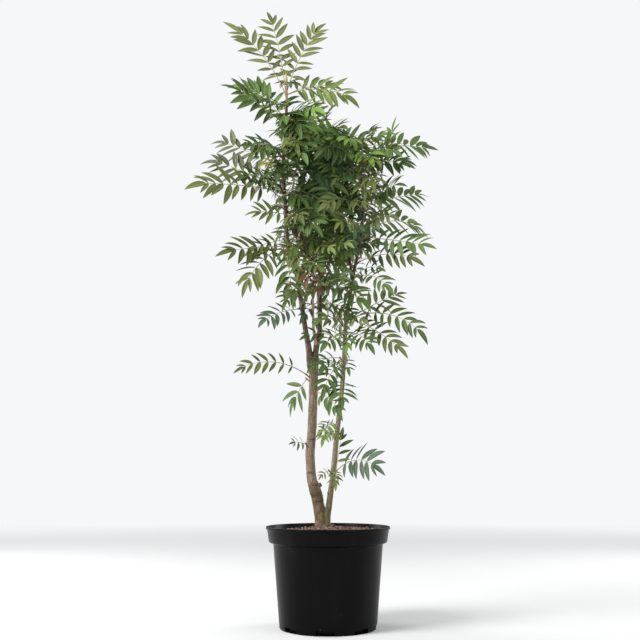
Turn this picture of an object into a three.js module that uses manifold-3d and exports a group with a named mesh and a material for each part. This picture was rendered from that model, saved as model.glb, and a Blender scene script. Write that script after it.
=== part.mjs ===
// A young rowan with three leading shoots, growing in a round nursery pot.
// Millimetres and degrees, +Z up, +X to the right and +Y to the back.
// The origin is the centre of the flat underside of the pot.

import * as THREE from 'three';
import { mergeVertices } from 'three/addons/utils/BufferGeometryUtils.js';
import Module from 'manifold-3d';

const wasm = await Module();
wasm.setup();

// ---- Driving dimensions ----

const GAP = 0.3; // clearance between pieces that touch
const FACET_GAP = 1.2 * GAP; // the same, measured at the corners of a many-sided bar

const POT = {
  height: 244,
  baseRadius: 120,
  baseEdge: 5,
  bodyTopRadius: 136.5,
  stepRadius: 146.5,
  rimRadius: 155,
  bandDepth: 38,
  stepHeight: 4,
  lipHeight: 6,
  lipStep: 2,
  wall: 2.6,
  floor: 3,
  sides: 40,
};
const NOTCH = { count: 8, width: 41, depth: 16, height: 18, centre: 3, turn: -4 }; // drain slots at the base
const SOIL = {
  edgeHeight: 231,
  slopeRadius: 92,
  slopeHeight: 233,
  moundRadius: 46,
  moundHeight: 238,
};

// A limb is given by stations from its foot to its tip: height, x, y and radius.
// Its centre line and radius run through them as smooth functions of height.
const FOOT = SOIL.moundHeight + GAP;
const FORK = 664;
const LIMBS = {
  trunk_main: [
    [FOOT, -16, 2, 19],
    [258, -17.5, 2, 15.8],
    [288, -22.5, 1, 14.5],
    [303, -25.3, 0, 14.4],
    [325, -30, 0, 15.8],
    [345, -36, 0, 14.6],
    [363, -41, 0, 12.6],
    [390, -43.5, 0, 11.7],
    [425, -45.3, 0, 12.1],
    [453, -42.8, 0, 11.6],
    [500, -39.8, 0, 11.5],
    [590, -36.8, 0, 11.3],
    [632, -37, 0, 12],
    [FORK, -38.5, 0, 13.8],
  ],
  leader_left: [
    [640, -43, 0, 8.6],
    [688, -48.4, -3, 8],
    [714, -52.8, -5, 7.2],
    [740, -57.5, -7, 6.7],
    [800, -67, -12, 6.3],
    [880, -80, -20, 6],
    [968, -104, -26, 5.6],
    [1066, -111, -28, 5.3],
    [1169, -118, -24, 4.9],
    [1270, -113, -15, 4.3],
    [1352, -110, -8, 3.7],
  ],
  leader_middle: [
    [640, -34, 2, 7.8],
    [688, -30.6, 4, 7.6],
    [714, -25.8, 6, 7.4],
    [742, -21, 9, 6.3],
    [830, -20, 22, 5.8],
    [980, -18, 40, 5.2],
    [1080, -17, 52, 4.6],
    [1165, -21, 60, 3.8],
    [1262, -32, 62, 2.8],
  ],
  stem_right: [
    [FOOT, -2, -2, 9.5],
    [262, -2, -2, 8.4],
    [291, 2, -4, 7.9],
    [333, 7.4, -6, 7.4],
    [366, 12, -8, 7],
    [480, 23.7, -12, 6.6],
    [587, 36, -14, 6],
    [690, 43, -16, 5.6],
    [765, 48, -16, 5.2],
    [840, 60, -16, 4.8],
    [890, 66, -16, 4.4],
  ],
  leader_right: [
    [880, 65, -16, 4.1],
    [975, 86, -22, 3.7],
    [1070, 95, -26, 3.3],
    [1150, 90, -26, 2.9],
    [1225, 80, -20, 2.4],
  ],
  twig_inner: [
    [870, 63, -15, 3.4],
    [950, 56, -2, 3],
    [1010, 46, 10, 2.6],
    [1058, 38, 18, 2.2],
  ],
  shoot_between: [
    [700, -31, 2, 4],
    [738, -36.2, -12, 3.6],
    [758, -37.5, -22, 3.3],
    [840, -38, -48, 2.8],
    [925, -34, -66, 2.2],
  ],
};
// Each limb is trimmed clear of the ones it grows from.
const GROWS_FROM = {
  trunk_main: [],
  leader_left: ['trunk_main'],
  leader_middle: ['trunk_main', 'leader_left'],
  stem_right: ['trunk_main'],
  leader_right: ['stem_right'],
  twig_inner: ['stem_right', 'leader_right'],
  shoot_between: ['trunk_main', 'leader_left', 'leader_middle'],
};
const LIMB_SIDES = 8;
const LIMB_STEP = 42;

// Where old leaf scars swell the bark: limb, height, extra radius, half length.
const KNOTS = [
  ['trunk_main', 348, 0.8, 6],
  ['trunk_main', 326, 0.9, 5],
  ['trunk_main', 462, 1.1, 5],
  ['trunk_main', 546, 0.8, 7],
  ['stem_right', 330, 0.9, 6],
  ['stem_right', 560, 0.8, 6],
];

// A leaf is [azimuth, rise, length, arch]: the bearing and slope of the straight
// line from its foot to its tip, its length along the curve, and how far it bends.
// A spray is a short spur on a limb with its leading leaves, and `more` leaves
// that the fan rule adds between them.
const SPRAYS = [
  { name: 'spray_top', limb: 'leader_left', at: 1352, spur: [85, 32], more: 1,
    leaves: [[152, 77, 276, 14], [14, 65, 258, 22], [-177, 52, 268, 33],
      [-12, -12, 215, 62], [19, 17, 170, 34]] },
  { name: 'spray_left_6', limb: 'leader_left', at: 1290, more: 2,
    leaves: [[-137, 17, 204, 7], [-70, -32, 190, 60], [165, 44, 172, 50]] },
  { name: 'spray_left_5', limb: 'leader_left', at: 1170, more: 1,
    leaves: [[159, 27, 224, 8], [25, 41, 185, 32]] },
  { name: 'spray_left_4', limb: 'leader_left', at: 1093, more: 1,
    leaves: [[-143, -7, 277, 11], [168, 26, 243, 20]] },
  { name: 'spray_left_3', limb: 'leader_left', at: 1027, more: 1,
    leaves: [[-63, -27, 217, 35], [-155, -4, 116, 20]] },
  { name: 'spray_left_2', limb: 'leader_left', at: 945, more: 0,
    leaves: [[-140, -13, 213, 3], [-133, -45, 220, 43], [-73, -66, 189, 8]] },
  { name: 'spray_left_1', limb: 'leader_left', at: 780, more: 1,
    leaves: [[-122, -20, 195, 22]] },
  { name: 'spray_middle_top', limb: 'leader_middle', at: 1262, spur: [85, 30], more: 2,
    leaves: [[90, 55, 190, 20], [-75, 5, 190, 20]] },
  { name: 'spray_right_top', limb: 'leader_right', at: 1225, spur: [80, 30], more: 2,
    leaves: [[29, 5, 260, -7], [-76, -9, 150, 5]] },
  { name: 'spray_right_6', limb: 'leader_right', at: 1150, more: 0,
    leaves: [[-126, -6, 222, 103], [-44, 47, 194, -115]] },
  { name: 'spray_right_5', limb: 'leader_right', at: 1070, more: 1,
    leaves: [[33, 16, 223, 4], [-65, 0, 189, 9]] },
  { name: 'spray_right_4', limb: 'leader_right', at: 975, more: 0,
    leaves: [[30, 9, 232, 88], [-44, -16, 240, 4]] },
  { name: 'spray_right_3', limb: 'leader_right', at: 905, more: 1,
    leaves: [[-36, -8, 195, 52]] },
  { name: 'spray_right_2', limb: 'stem_right', at: 862, more: 0,
    leaves: [[-61, -21, 190, 51], [-54, -1, 125, 68]] },
  { name: 'spray_right_1', limb: 'stem_right', at: 755, more: 0,
    leaves: [[-40, -18, 260, 65], [-43, -31, 215, 21], [28, 27, 203, 14]] },
  { name: 'spray_low_5', limb: 'stem_right', at: 715, more: 0,
    leaves: [[-70, -22, 185, 45], [-115, -22, 170, 40], [-93, -25, 175, 60]] },
  { name: 'spray_low_4', limb: 'stem_right', at: 635, more: 0,
    leaves: [[-110, -12, 170, 35], [150, -5, 130, 45], [-115, -40, 160, 60]] },
  { name: 'spray_low_3', limb: 'stem_right', at: 598, more: 0,
    leaves: [[-92, -31, 168, 30], [160, -20, 120, 50]] },
  { name: 'spray_low_2', limb: 'stem_right', at: 480, more: 0,
    leaves: [[-105, -22, 160, 80], [112, -10, 130, 50]] },
  { name: 'spray_low_1', limb: 'stem_right', at: 366, more: 0,
    leaves: [[-57, -2, 210, 70], [60, 72, 120, 3], [-92, -45, 62, 50]] },
  { name: 'spray_trunk_4', limb: 'trunk_main', at: 606, more: 0,
    leaves: [[-152, -1, 215, 66]] },
  { name: 'spray_trunk_3', limb: 'trunk_main', at: 598, more: 0,
    leaves: [[158, -62, 105, 24]] },
  { name: 'spray_trunk_2', limb: 'trunk_main', at: 562, more: 0,
    leaves: [[-60, -30, 140, 40]] },
  { name: 'spray_trunk_1', limb: 'trunk_main', at: 430, more: 0,
    leaves: [[-121, 1, 77, 17]] },
];

// Rows of sprays up a limb: each turns on from the last by the same angle.
const ROWS = [
  { name: 'foliage_middle', limb: 'leader_middle', from: 800, to: 1190, count: 7,
    first: 20, length: 195, more: 3 },
  { name: 'foliage_left', limb: 'leader_left', from: 880, to: 1310, count: 6,
    first: 290, length: 190, more: 3 },
  { name: 'foliage_right', limb: 'leader_right', from: 930, to: 1180, count: 5,
    first: 110, length: 190, more: 3 },
  { name: 'foliage_stem', limb: 'stem_right', from: 790, to: 826, count: 2,
    first: 95, length: 190, more: 2 },
  { name: 'foliage_twig', limb: 'twig_inner', from: 960, to: 1056, count: 2,
    first: 150, length: 185, more: 2 },
  { name: 'foliage_shoot', limb: 'shoot_between', from: 815, to: 923, count: 2,
    first: 250, length: 185, more: 3 },
];
const TURN_OF_ROW = 137.5;
const RISE_OF_ROW = -14;
const ARCH_OF_ROW = 60;

// Where the crown is dense: height, furthest left and furthest right. A leaf that a row or
// the fan rule would send out of it is skipped.
const CORE = [
  [640, -60, 75],
  [740, -80, 85],
  [800, -115, 90],
  [900, -135, 125],
  [1000, -150, 180],
  [1100, -180, 180],
  [1200, -175, 200],
  [1260, -140, 170],
  [1300, -140, 50],
  [1340, -155, -85],
];
const CORE_CHECKS = [0.4, 0.6, 0.8, 1];

// A spur is this long beyond the bark; a spray that states its own spur gives [rise, length].
const SPUR = { rise: 40, length: 10, radius: 2.6, sides: 4 };
const FAN = { offsets: [70, -75, 125], spread: 18, rise: -8, riseSpread: 24, arch: 55, archSpread: 20 };
const FAN_LENGTH = 0.86;
const FAN_LENGTH_SPREAD = 0.08;

const LEAF = {
  stalkShare: 0.24, // of the length, bare of leaflets
  leafletShare: 0.26, // leaflet length over leaf length
  leafletWidth: 0.48, // of the leaflet's length
  leafletThickness: 2.4,
  lastPair: 0.97, // of the bar's length
  pairOffset: 0.35, // of the spacing of the pairs
  leafletAngle: 58,
  leafletLift: 9,
  root: 0.6, // how far a leaflet starts behind the rachis centre
  widest: 0.46,
  rachisRadius: 2.4,
  rachisTipRadius: 1.7,
  rachisSteps: 3,
  longLeaf: 180, // from this length a leaf has one pair of leaflets more
  pairs: 2,
};
const LIGHT = new THREE.Vector3(0, -0.985, 0.17); // leaf blades turn most of the way to it
const LIGHT_TURN = 0.95;
const LIGHT_LEAST = 0.15;
const KEEP_CLEAR = 0.6; // round a leaflet
const FEWEST_PARTS = 4; // a leaf is grown if it keeps its bar and at least three leaflets
const SEED = { first: 1000, step: 37 };

const COLOURS = {
  pot: 0x17181a,
  soil: 0x5b4438,
  bark: 0x8a7b6c,
  leaf: 0x3f6b2f,
};

// ---- Solids ----

const radians = THREE.MathUtils.degToRad;

function solidOf(geometry) {
  geometry.deleteAttribute('normal');
  geometry.deleteAttribute('uv');
  const merged = mergeVertices(geometry, 1e-4);
  return new wasm.Manifold(new wasm.Mesh({
    numProp: 3,
    vertProperties: merged.attributes.position.array,
    triVerts: new Uint32Array(merged.index.array),
  }));
}

function geometryOf(solid) {
  const mesh = solid.getMesh();
  const geometry = new THREE.BufferGeometry();
  geometry.setAttribute('position', new THREE.BufferAttribute(mesh.vertProperties, 3));
  geometry.setIndex(new THREE.BufferAttribute(mesh.triVerts, 1));
  geometry.computeVertexNormals();
  return geometry;
}

// The largest piece of a solid, with any loose scrap dropped and any sealed hollow filled.
function largest(solid) {
  return solid.decompose().reduce((best, piece) => (piece.volume() > best.volume() ? piece : best));
}

// Moves every vertex of a geometry by a rule for its position.
function reshape(geometry, rule) {
  const position = geometry.attributes.position;
  const vertex = new THREE.Vector3();
  for (let i = 0; i < position.count; i += 1) {
    vertex.fromBufferAttribute(position, i);
    rule(vertex);
    position.setXYZ(i, vertex.x, vertex.y, vertex.z);
  }
  return geometry;
}

// A unit cylinder along +Z, its height from 0 to 1.
function unitTube(sides, steps) {
  const tube = new THREE.CylinderGeometry(1, 1, 1, sides, steps);
  tube.rotateX(Math.PI / 2);
  tube.translate(0, 0, 0.5);
  return tube;
}

// ---- Pot and soil ----

const BAND_FOOT = POT.height - POT.bandDepth;
const BODY_TOP = BAND_FOOT - POT.stepHeight;
const LIP_FOOT = POT.height - POT.lipHeight;

function turned(profile) {
  const points = profile.map(([r, z]) => new THREE.Vector2(r, z));
  const lathe = new THREE.LatheGeometry(points, POT.sides);
  lathe.rotateX(Math.PI / 2);
  return solidOf(lathe);
}

function potSolid() {
  const { baseRadius, baseEdge, bodyTopRadius, stepRadius, rimRadius, lipStep, wall } = POT;
  let pot = turned([
    [0, 0],
    [baseRadius - baseEdge, 0],
    [baseRadius - baseEdge * 0.2, baseEdge * 0.3],
    [baseRadius, baseEdge],
    [bodyTopRadius, BODY_TOP],
    [stepRadius, BAND_FOOT],
    [rimRadius - lipStep, LIP_FOOT - lipStep / 2],
    [rimRadius, LIP_FOOT],
    [rimRadius, POT.height],
    [rimRadius - 2 * wall, POT.height],
    [stepRadius - wall, BAND_FOOT],
    [bodyTopRadius - wall, BODY_TOP],
    [baseRadius - wall, POT.floor],
    [0, POT.floor],
  ]);
  for (let i = 0; i < NOTCH.count; i += 1) {
    const box = new THREE.BoxGeometry(NOTCH.width, NOTCH.depth, NOTCH.height);
    box.translate(0, -baseRadius, NOTCH.centre);
    box.rotateZ((i * 2 * Math.PI) / NOTCH.count + radians(NOTCH.turn));
    pot = pot.subtract(solidOf(box));
  }
  return largest(pot);
}

// The soil fills the pot inside its wall, up to a low mound round the stems.
function soilSolid() {
  const { baseRadius, bodyTopRadius, stepRadius, rimRadius, wall } = POT;
  const inside = wall + 2 * GAP;
  const rise = (SOIL.edgeHeight - BAND_FOOT) / POT.bandDepth;
  const edgeRadius = stepRadius + (rimRadius - wall - stepRadius) * rise;
  return turned([
    [0, POT.floor + GAP],
    [baseRadius - inside, POT.floor + GAP],
    [bodyTopRadius - inside, BODY_TOP + GAP],
    [stepRadius - inside, BAND_FOOT + GAP],
    [edgeRadius - inside, SOIL.edgeHeight],
    [SOIL.slopeRadius, SOIL.slopeHeight],
    [SOIL.moundRadius, SOIL.moundHeight],
    [0, SOIL.moundHeight],
  ]);
}

// ---- Limbs ----

// x, y and radius of a limb at a height, by cubic Hermite spans between its stations.
function limbAt(name, z) {
  const rows = LIMBS[name];
  const last = rows.length - 1;
  let i = 0;
  while (i < last - 1 && z > rows[i + 1][0]) i += 1;
  const slope = (k, column) => {
    const before = rows[Math.max(k - 1, 0)];
    const after = rows[Math.min(k + 1, last)];
    return (after[column] - before[column]) / (after[0] - before[0]);
  };
  const span = rows[i + 1][0] - rows[i][0];
  const t = THREE.MathUtils.clamp((z - rows[i][0]) / span, 0, 1);
  const value = (column) => {
    const a = rows[i][column];
    const b = rows[i + 1][column];
    const ma = slope(i, column) * span;
    const mb = slope(i + 1, column) * span;
    const t2 = t * t;
    const t3 = t2 * t;
    return (2 * t3 - 3 * t2 + 1) * a + (t3 - 2 * t2 + t) * ma
      + (3 * t2 - 2 * t3) * b + (t3 - t2) * mb;
  };
  return { x: value(1), y: value(2), radius: value(3) };
}

function knotSwell(name, z) {
  let swell = 0;
  for (const [limb, height, extra, half] of KNOTS) {
    if (limb === name) swell += extra * Math.exp(-(((z - height) / half) ** 2));
  }
  return swell;
}

// A limb as a tapering round bar with level sections, grown outwards by `extra`.
function limbSolid(name, extra = 0) {
  const rows = LIMBS[name];
  const foot = rows[0][0];
  const length = rows[rows.length - 1][0] - foot;
  const steps = Math.round(length / LIMB_STEP);
  const bar = reshape(unitTube(LIMB_SIDES, steps), (v) => {
    const z = foot + v.z * length;
    const { x, y, radius } = limbAt(name, z);
    const r = radius + knotSwell(name, z) + extra;
    v.set(x + v.x * r, y + v.y * r, z + (v.z * 2 - 1) * extra);
  });
  return solidOf(bar);
}

// ---- Sprays ----

// Park and Miller's generator: the same numbers in any language.
function randomFrom(seed) {
  let state = seed;
  return () => {
    state = (state * 48271) % 2147483647;
    return state / 2147483647;
  };
}

function direction(azimuth, rise) {
  const a = radians(azimuth);
  const e = radians(rise);
  return new THREE.Vector3(Math.cos(e) * Math.cos(a), Math.cos(e) * Math.sin(a), Math.sin(e));
}

// The curve of a leaf: an arc in the upright plane of its azimuth, whose blade is
// turned about its own line towards the light. The function that comes back gives the
// point, the tangent, the blade's normal and its side for a share s of the length.
function leafCurve(foot, [azimuth, rise, length, arch]) {
  const bend = radians(arch);
  const start = radians(rise) + bend / 2;
  const level = direction(azimuth, 0);
  const across = direction(azimuth + 90, 0);
  const upAt = (angle) => level.clone().multiplyScalar(-Math.sin(angle))
    .addScaledVector(new THREE.Vector3(0, 0, 1), Math.cos(angle));
  const up = upAt(radians(rise));
  const turn = LIGHT_TURN * Math.atan2(LIGHT.dot(across), Math.max(LIGHT.dot(up), LIGHT_LEAST));
  return (s) => {
    const angle = start - bend * s;
    const out = (Math.sin(start) - Math.sin(angle)) / bend;
    const high = (Math.cos(angle) - Math.cos(start)) / bend;
    const point = foot.clone().addScaledVector(level, out * length);
    point.z += high * length;
    const tangent = level.clone().multiplyScalar(Math.cos(angle));
    tangent.z = Math.sin(angle);
    const normal = upAt(angle).multiplyScalar(Math.cos(turn)).addScaledVector(across, Math.sin(turn));
    const side = normal.clone().cross(tangent);
    return { point, tangent, normal, side };
  };
}

// A three-sided bar along a leaf curve from s = 0 to s = end, with its root drawn back.
function rachisSolid(curve, end) {
  const { rachisRadius, rachisTipRadius, rachisSteps, root } = LEAF;
  const bar = reshape(unitTube(3, rachisSteps), (v) => {
    const { point, tangent, normal, side } = curve(v.z * end);
    const r = rachisRadius + (rachisTipRadius - rachisRadius) * v.z;
    const back = v.z === 0 ? root / 2 : 0;
    const x = v.x * r;
    const y = v.y * r;
    v.copy(point).addScaledVector(side, x).addScaledVector(normal, y).addScaledVector(tangent, -back);
  });
  return solidOf(bar);
}

// One leaflet: a thin tetrahedron. One edge is the midrib, from the foot to the tip
// along `axis`, and the opposite edge crosses under it where the blade is widest.
function leafletSolid(foot, axis, normal, length, extra = 0) {
  const flat = normal.clone().addScaledVector(axis, -normal.dot(axis)).normalize();
  const side = flat.clone().cross(axis);
  const half = (length * LEAF.leafletWidth) / 2 + extra;
  const blank = new THREE.TetrahedronGeometry(1);
  blank.rotateZ(-Math.PI / 4);
  const blade = reshape(blank, (v) => {
    const onMidrib = v.z > 0;
    const end = v.x > 0 ? length + extra : -LEAF.root;
    const along = onMidrib ? end : length * LEAF.widest;
    const out = onMidrib ? 0 : Math.sign(v.y) * half;
    const up = onMidrib ? extra : -LEAF.leafletThickness - extra;
    v.copy(foot).addScaledVector(axis, along).addScaledVector(side, out).addScaledVector(flat, up);
  });
  return solidOf(blade);
}

// The point on the straight stretches of a leaf's bar, which the leaflets stand on.
function barPoint(curve, share, end) {
  const step = Math.min(Math.floor((share / end) * LEAF.rachisSteps), LEAF.rachisSteps - 1);
  const from = (step / LEAF.rachisSteps) * end;
  const to = ((step + 1) / LEAF.rachisSteps) * end;
  return curve(from).point.lerp(curve(to).point, (share - from) / (to - from));
}

// Where the leaflets of a leaf stand: point, frame, axis and length of each.
function leafletPlaces(curve, length) {
  const pairs = LEAF.pairs + (length >= LEAF.longLeaf ? 1 : 0);
  const blade = length * LEAF.leafletShare;
  const end = 1 - LEAF.leafletShare;
  const places = [{ ...curve(end), axis: curve(end).tangent, size: blade }];
  const out = radians(LEAF.leafletAngle);
  const lift = Math.tan(radians(LEAF.leafletLift));
  for (let pair = 0; pair < pairs; pair += 1) {
    const step = (pair + LEAF.pairOffset) / pairs;
    const share = LEAF.stalkShare + (end * LEAF.lastPair - LEAF.stalkShare) * step;
    const frame = curve(share);
    for (const hand of [-1, 1]) {
      const axis = frame.tangent.clone().multiplyScalar(Math.cos(out))
        .addScaledVector(frame.side, hand * Math.sin(out))
        .addScaledVector(frame.normal, lift)
        .normalize();
      places.push({ ...frame, point: barPoint(curve, share, end), axis, size: blade });
    }
  }
  return { places, end };
}

function insideCore(curve) {
  return CORE_CHECKS.every((share) => {
    const { point } = curve(share);
    const z = THREE.MathUtils.clamp(point.z, CORE[0][0], CORE[CORE.length - 1][0]);
    let i = 0;
    while (i < CORE.length - 2 && z > CORE[i + 1][0]) i += 1;
    const t = (z - CORE[i][0]) / (CORE[i + 1][0] - CORE[i][0]);
    const left = THREE.MathUtils.lerp(CORE[i][1], CORE[i + 1][1], t);
    const right = THREE.MathUtils.lerp(CORE[i][2], CORE[i + 1][2], t);
    return point.x >= left && point.x <= right;
  });
}

function boxesMeet(a, b) {
  return [0, 1, 2].every((k) => a.min[k] <= b.max[k] && b.min[k] <= a.max[k]);
}

function meets(solid, others) {
  const box = solid.boundingBox();
  return others.some((other) => boxesMeet(box, other.box)
    && !solid.intersect(other.solid).isEmpty());
}

// Adds a leaf to its spray, without the leaflets that would meet a limb, another spray
// or an earlier leaf of its own spray.
function growLeaf(spray, leaf, obstacles) {
  const curve = leafCurve(spray.tip, leaf);
  const { places, end } = leafletPlaces(curve, leaf[2]);
  const rachis = rachisSolid(curve, end);
  if (meets(rachis, obstacles)) return;
  const parts = [rachis];
  for (const { point, axis, normal, size } of places) {
    const grown = leafletSolid(point, axis, normal, size, KEEP_CLEAR);
    if (meets(grown, obstacles) || meets(grown, spray.parts)) continue;
    parts.push(leafletSolid(point, axis, normal, size));
  }
  if (parts.length < FEWEST_PARTS) return;
  for (const part of parts) spray.parts.push({ solid: part, box: part.boundingBox() });
}

// The leaves that the fan rule adds to a spray, spread to either side of its first leaf.
function fanLeaves(first, more, random) {
  const leaves = [];
  for (let k = 0; k < more; k += 1) {
    const around = first[0] + FAN.offsets[k] + FAN.spread * (2 * random() - 1);
    const rise = FAN.rise + FAN.riseSpread * (2 * random() - 1);
    const length = first[2] * (FAN_LENGTH + FAN_LENGTH_SPREAD * (2 * random() - 1));
    const arch = FAN.arch + FAN.archSpread * (2 * random() - 1);
    leaves.push([around, rise, length, arch]);
  }
  return leaves;
}

function rowSprays() {
  const sprays = [];
  for (const row of ROWS) {
    for (let k = 0; k < row.count; k += 1) {
      const at = row.from + ((row.to - row.from) * k) / Math.max(row.count - 1, 1);
      const leaf = [row.first + TURN_OF_ROW * k, RISE_OF_ROW, row.length, ARCH_OF_ROW];
      sprays.push({
        name: `${row.name}_${k + 1}`,
        limb: row.limb,
        at,
        more: row.more,
        row: row.name,
        leaves: [leaf],
      });
    }
  }
  return sprays;
}

// A spur from the limb's centre to the foot of its leaves.
function startSpray(row, index) {
  const { x, y, radius } = limbAt(row.limb, row.at);
  const foot = new THREE.Vector3(x, y, row.at);
  const [rise, beyond] = row.spur ?? [SPUR.rise, SPUR.length];
  const length = beyond + (row.spur ? 0 : radius / Math.cos(radians(rise)));
  const reach = direction(row.leaves[0][0], rise);
  const tip = foot.clone().addScaledVector(reach, length);
  const side = reach.clone().cross(new THREE.Vector3(0, 0, 1)).normalize();
  const normal = side.clone().cross(reach);
  const spur = reshape(unitTube(SPUR.sides, 1), (v) => {
    const xs = v.x * SPUR.radius;
    const ys = v.y * SPUR.radius;
    const along = v.z * (length + SPUR.radius);
    v.copy(foot).addScaledVector(normal, xs).addScaledVector(side, ys).addScaledVector(reach, along);
  });
  const solid = solidOf(spur);
  return {
    ...row,
    tip,
    random: randomFrom(SEED.first + SEED.step * index),
    parts: [{ solid, box: solid.boundingBox() }],
  };
}

function buildSprays(limbs, clearance) {
  const sprays = [...SPRAYS, ...rowSprays()].map(startSpray);
  const limbSolids = Object.values(limbs).map((solid) => ({ solid, box: solid.boundingBox() }));
  const obstaclesOf = (spray) => [
    ...limbSolids,
    ...sprays.filter((other) => other !== spray).flatMap((other) => other.parts),
  ];
  for (const spray of sprays) {
    for (const leaf of spray.leaves) {
      if (spray.row && !insideCore(leafCurve(spray.tip, leaf))) continue;
      growLeaf(spray, leaf, obstaclesOf(spray));
    }
  }
  for (const spray of sprays) {
    const fan = fanLeaves(spray.leaves[0], spray.more, spray.random);
    for (const leaf of fan) {
      if (insideCore(leafCurve(spray.tip, leaf))) growLeaf(spray, leaf, obstaclesOf(spray));
    }
  }
  const grown = sprays.filter((spray) => spray.parts.length > 1);
  return grown.map((spray) => {
    const whole = wasm.Manifold.union(spray.parts.map((part) => part.solid));
    return { name: spray.name, solid: largest(whole.subtract(clearance[spray.limb])) };
  });
}

// ---- The plant ----

const plant = new THREE.Group();

function addNode(name, solid, colour, roughness) {
  const material = new THREE.MeshStandardMaterial({ color: colour, roughness, metalness: 0 });
  const mesh = new THREE.Mesh(geometryOf(solid), material);
  mesh.name = name;
  plant.add(mesh);
}

const limbs = {};
const clearance = {};
for (const name of Object.keys(LIMBS)) {
  clearance[name] = limbSolid(name, FACET_GAP);
  const free = GROWS_FROM[name].reduce((solid, from) => solid.subtract(clearance[from]), limbSolid(name));
  limbs[name] = largest(free);
}

addNode('pot', potSolid(), COLOURS.pot, 0.5);
addNode('soil', soilSolid(), COLOURS.soil, 0.95);
for (const [name, solid] of Object.entries(limbs)) addNode(name, solid, COLOURS.bark, 0.8);
for (const { name, solid } of buildSprays(limbs, clearance)) addNode(name, solid, COLOURS.leaf, 0.6);

export default plant;
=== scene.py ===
"""Looks of a young rowan with three leading shoots in a round nursery pot."""

import math
from collections import namedtuple
from itertools import compress

import bpy
import numpy as np
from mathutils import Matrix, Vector


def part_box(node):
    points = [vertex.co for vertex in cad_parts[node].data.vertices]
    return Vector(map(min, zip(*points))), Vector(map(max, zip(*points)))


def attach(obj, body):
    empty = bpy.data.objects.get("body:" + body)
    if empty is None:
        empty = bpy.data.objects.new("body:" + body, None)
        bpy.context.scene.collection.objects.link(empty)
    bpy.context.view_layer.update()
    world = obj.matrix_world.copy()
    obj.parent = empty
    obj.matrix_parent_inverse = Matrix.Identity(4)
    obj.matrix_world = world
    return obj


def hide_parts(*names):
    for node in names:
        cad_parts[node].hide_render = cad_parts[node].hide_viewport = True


bl_info = {
    "name": "Young rowan in a pot",
    "version": (1, 0, 0),
    "blender": (4, 5, 0),
    "location": "View3D > Sidebar > Rowan",
    "description": "Builds the pot, compost, bark, twigs and leaves of a young rowan",
    "category": "Object",
}

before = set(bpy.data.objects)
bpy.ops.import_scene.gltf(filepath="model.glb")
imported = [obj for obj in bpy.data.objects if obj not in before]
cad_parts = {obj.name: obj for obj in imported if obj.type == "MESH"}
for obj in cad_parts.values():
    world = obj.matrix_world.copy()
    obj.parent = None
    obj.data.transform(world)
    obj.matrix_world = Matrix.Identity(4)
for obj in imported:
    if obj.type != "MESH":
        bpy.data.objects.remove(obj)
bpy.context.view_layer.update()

# ---- Sizes, in millimetres and degrees as in the solid model ----

MM = 0.001
UPWARD = np.array([0, 0, 1])

POT = {
    "height": 244, "base_radius": 120, "base_edge": 5, "body_top_radius": 136.5,
    "step_radius": 146.5, "rim_radius": 155, "band_depth": 38, "step_height": 4,
    "lip_height": 6, "lip_step": 2, "wall": 2.6, "floor": 3, "sharp_angle": 38,
}
SLOT = {"count": 8, "half_width": 20.5, "top": 12, "back_radius": 112, "turn": -4}
# The compost: heights from mound to edge, the rise round the stems, lumps, lean and the mesh's grid.
SOIL = {
    "edge_height": 231, "slope_radius": 92, "slope_height": 233, "mound_radius": 46, "mound_height": 238,
    "edge_radius": 148, "crest": 2, "stem_x": -8, "stem_reach": 30, "stem_rise": 7, "lump": 1.6, "lean": 2.0,
    "flat_from": 150, "fade": 12, "clearance": 3, "inner_ring": 3, "rings": 44, "sides": 144,
}
# Bark chips: how they differ from a ball, how many lie round the stems, and how high they lie.
CHIP = {
    "corners": 12, "pushed": 0.22, "most_pushed": 1.5, "size_spread": 0.35, "smallest": 0.5, "largest": 1.9,
    "width": (0.4, 0.8), "thickness": (0.2, 0.45), "tip": 0.35, "near_share": 0.25, "near_from": 12,
    "near_reach": 30, "edge_gap": 7, "height": 0.12, "tone_power": 0.8,
}
GAP = 0.3

FOOT = SOIL["mound_height"] + GAP
FORK = 664
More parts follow.
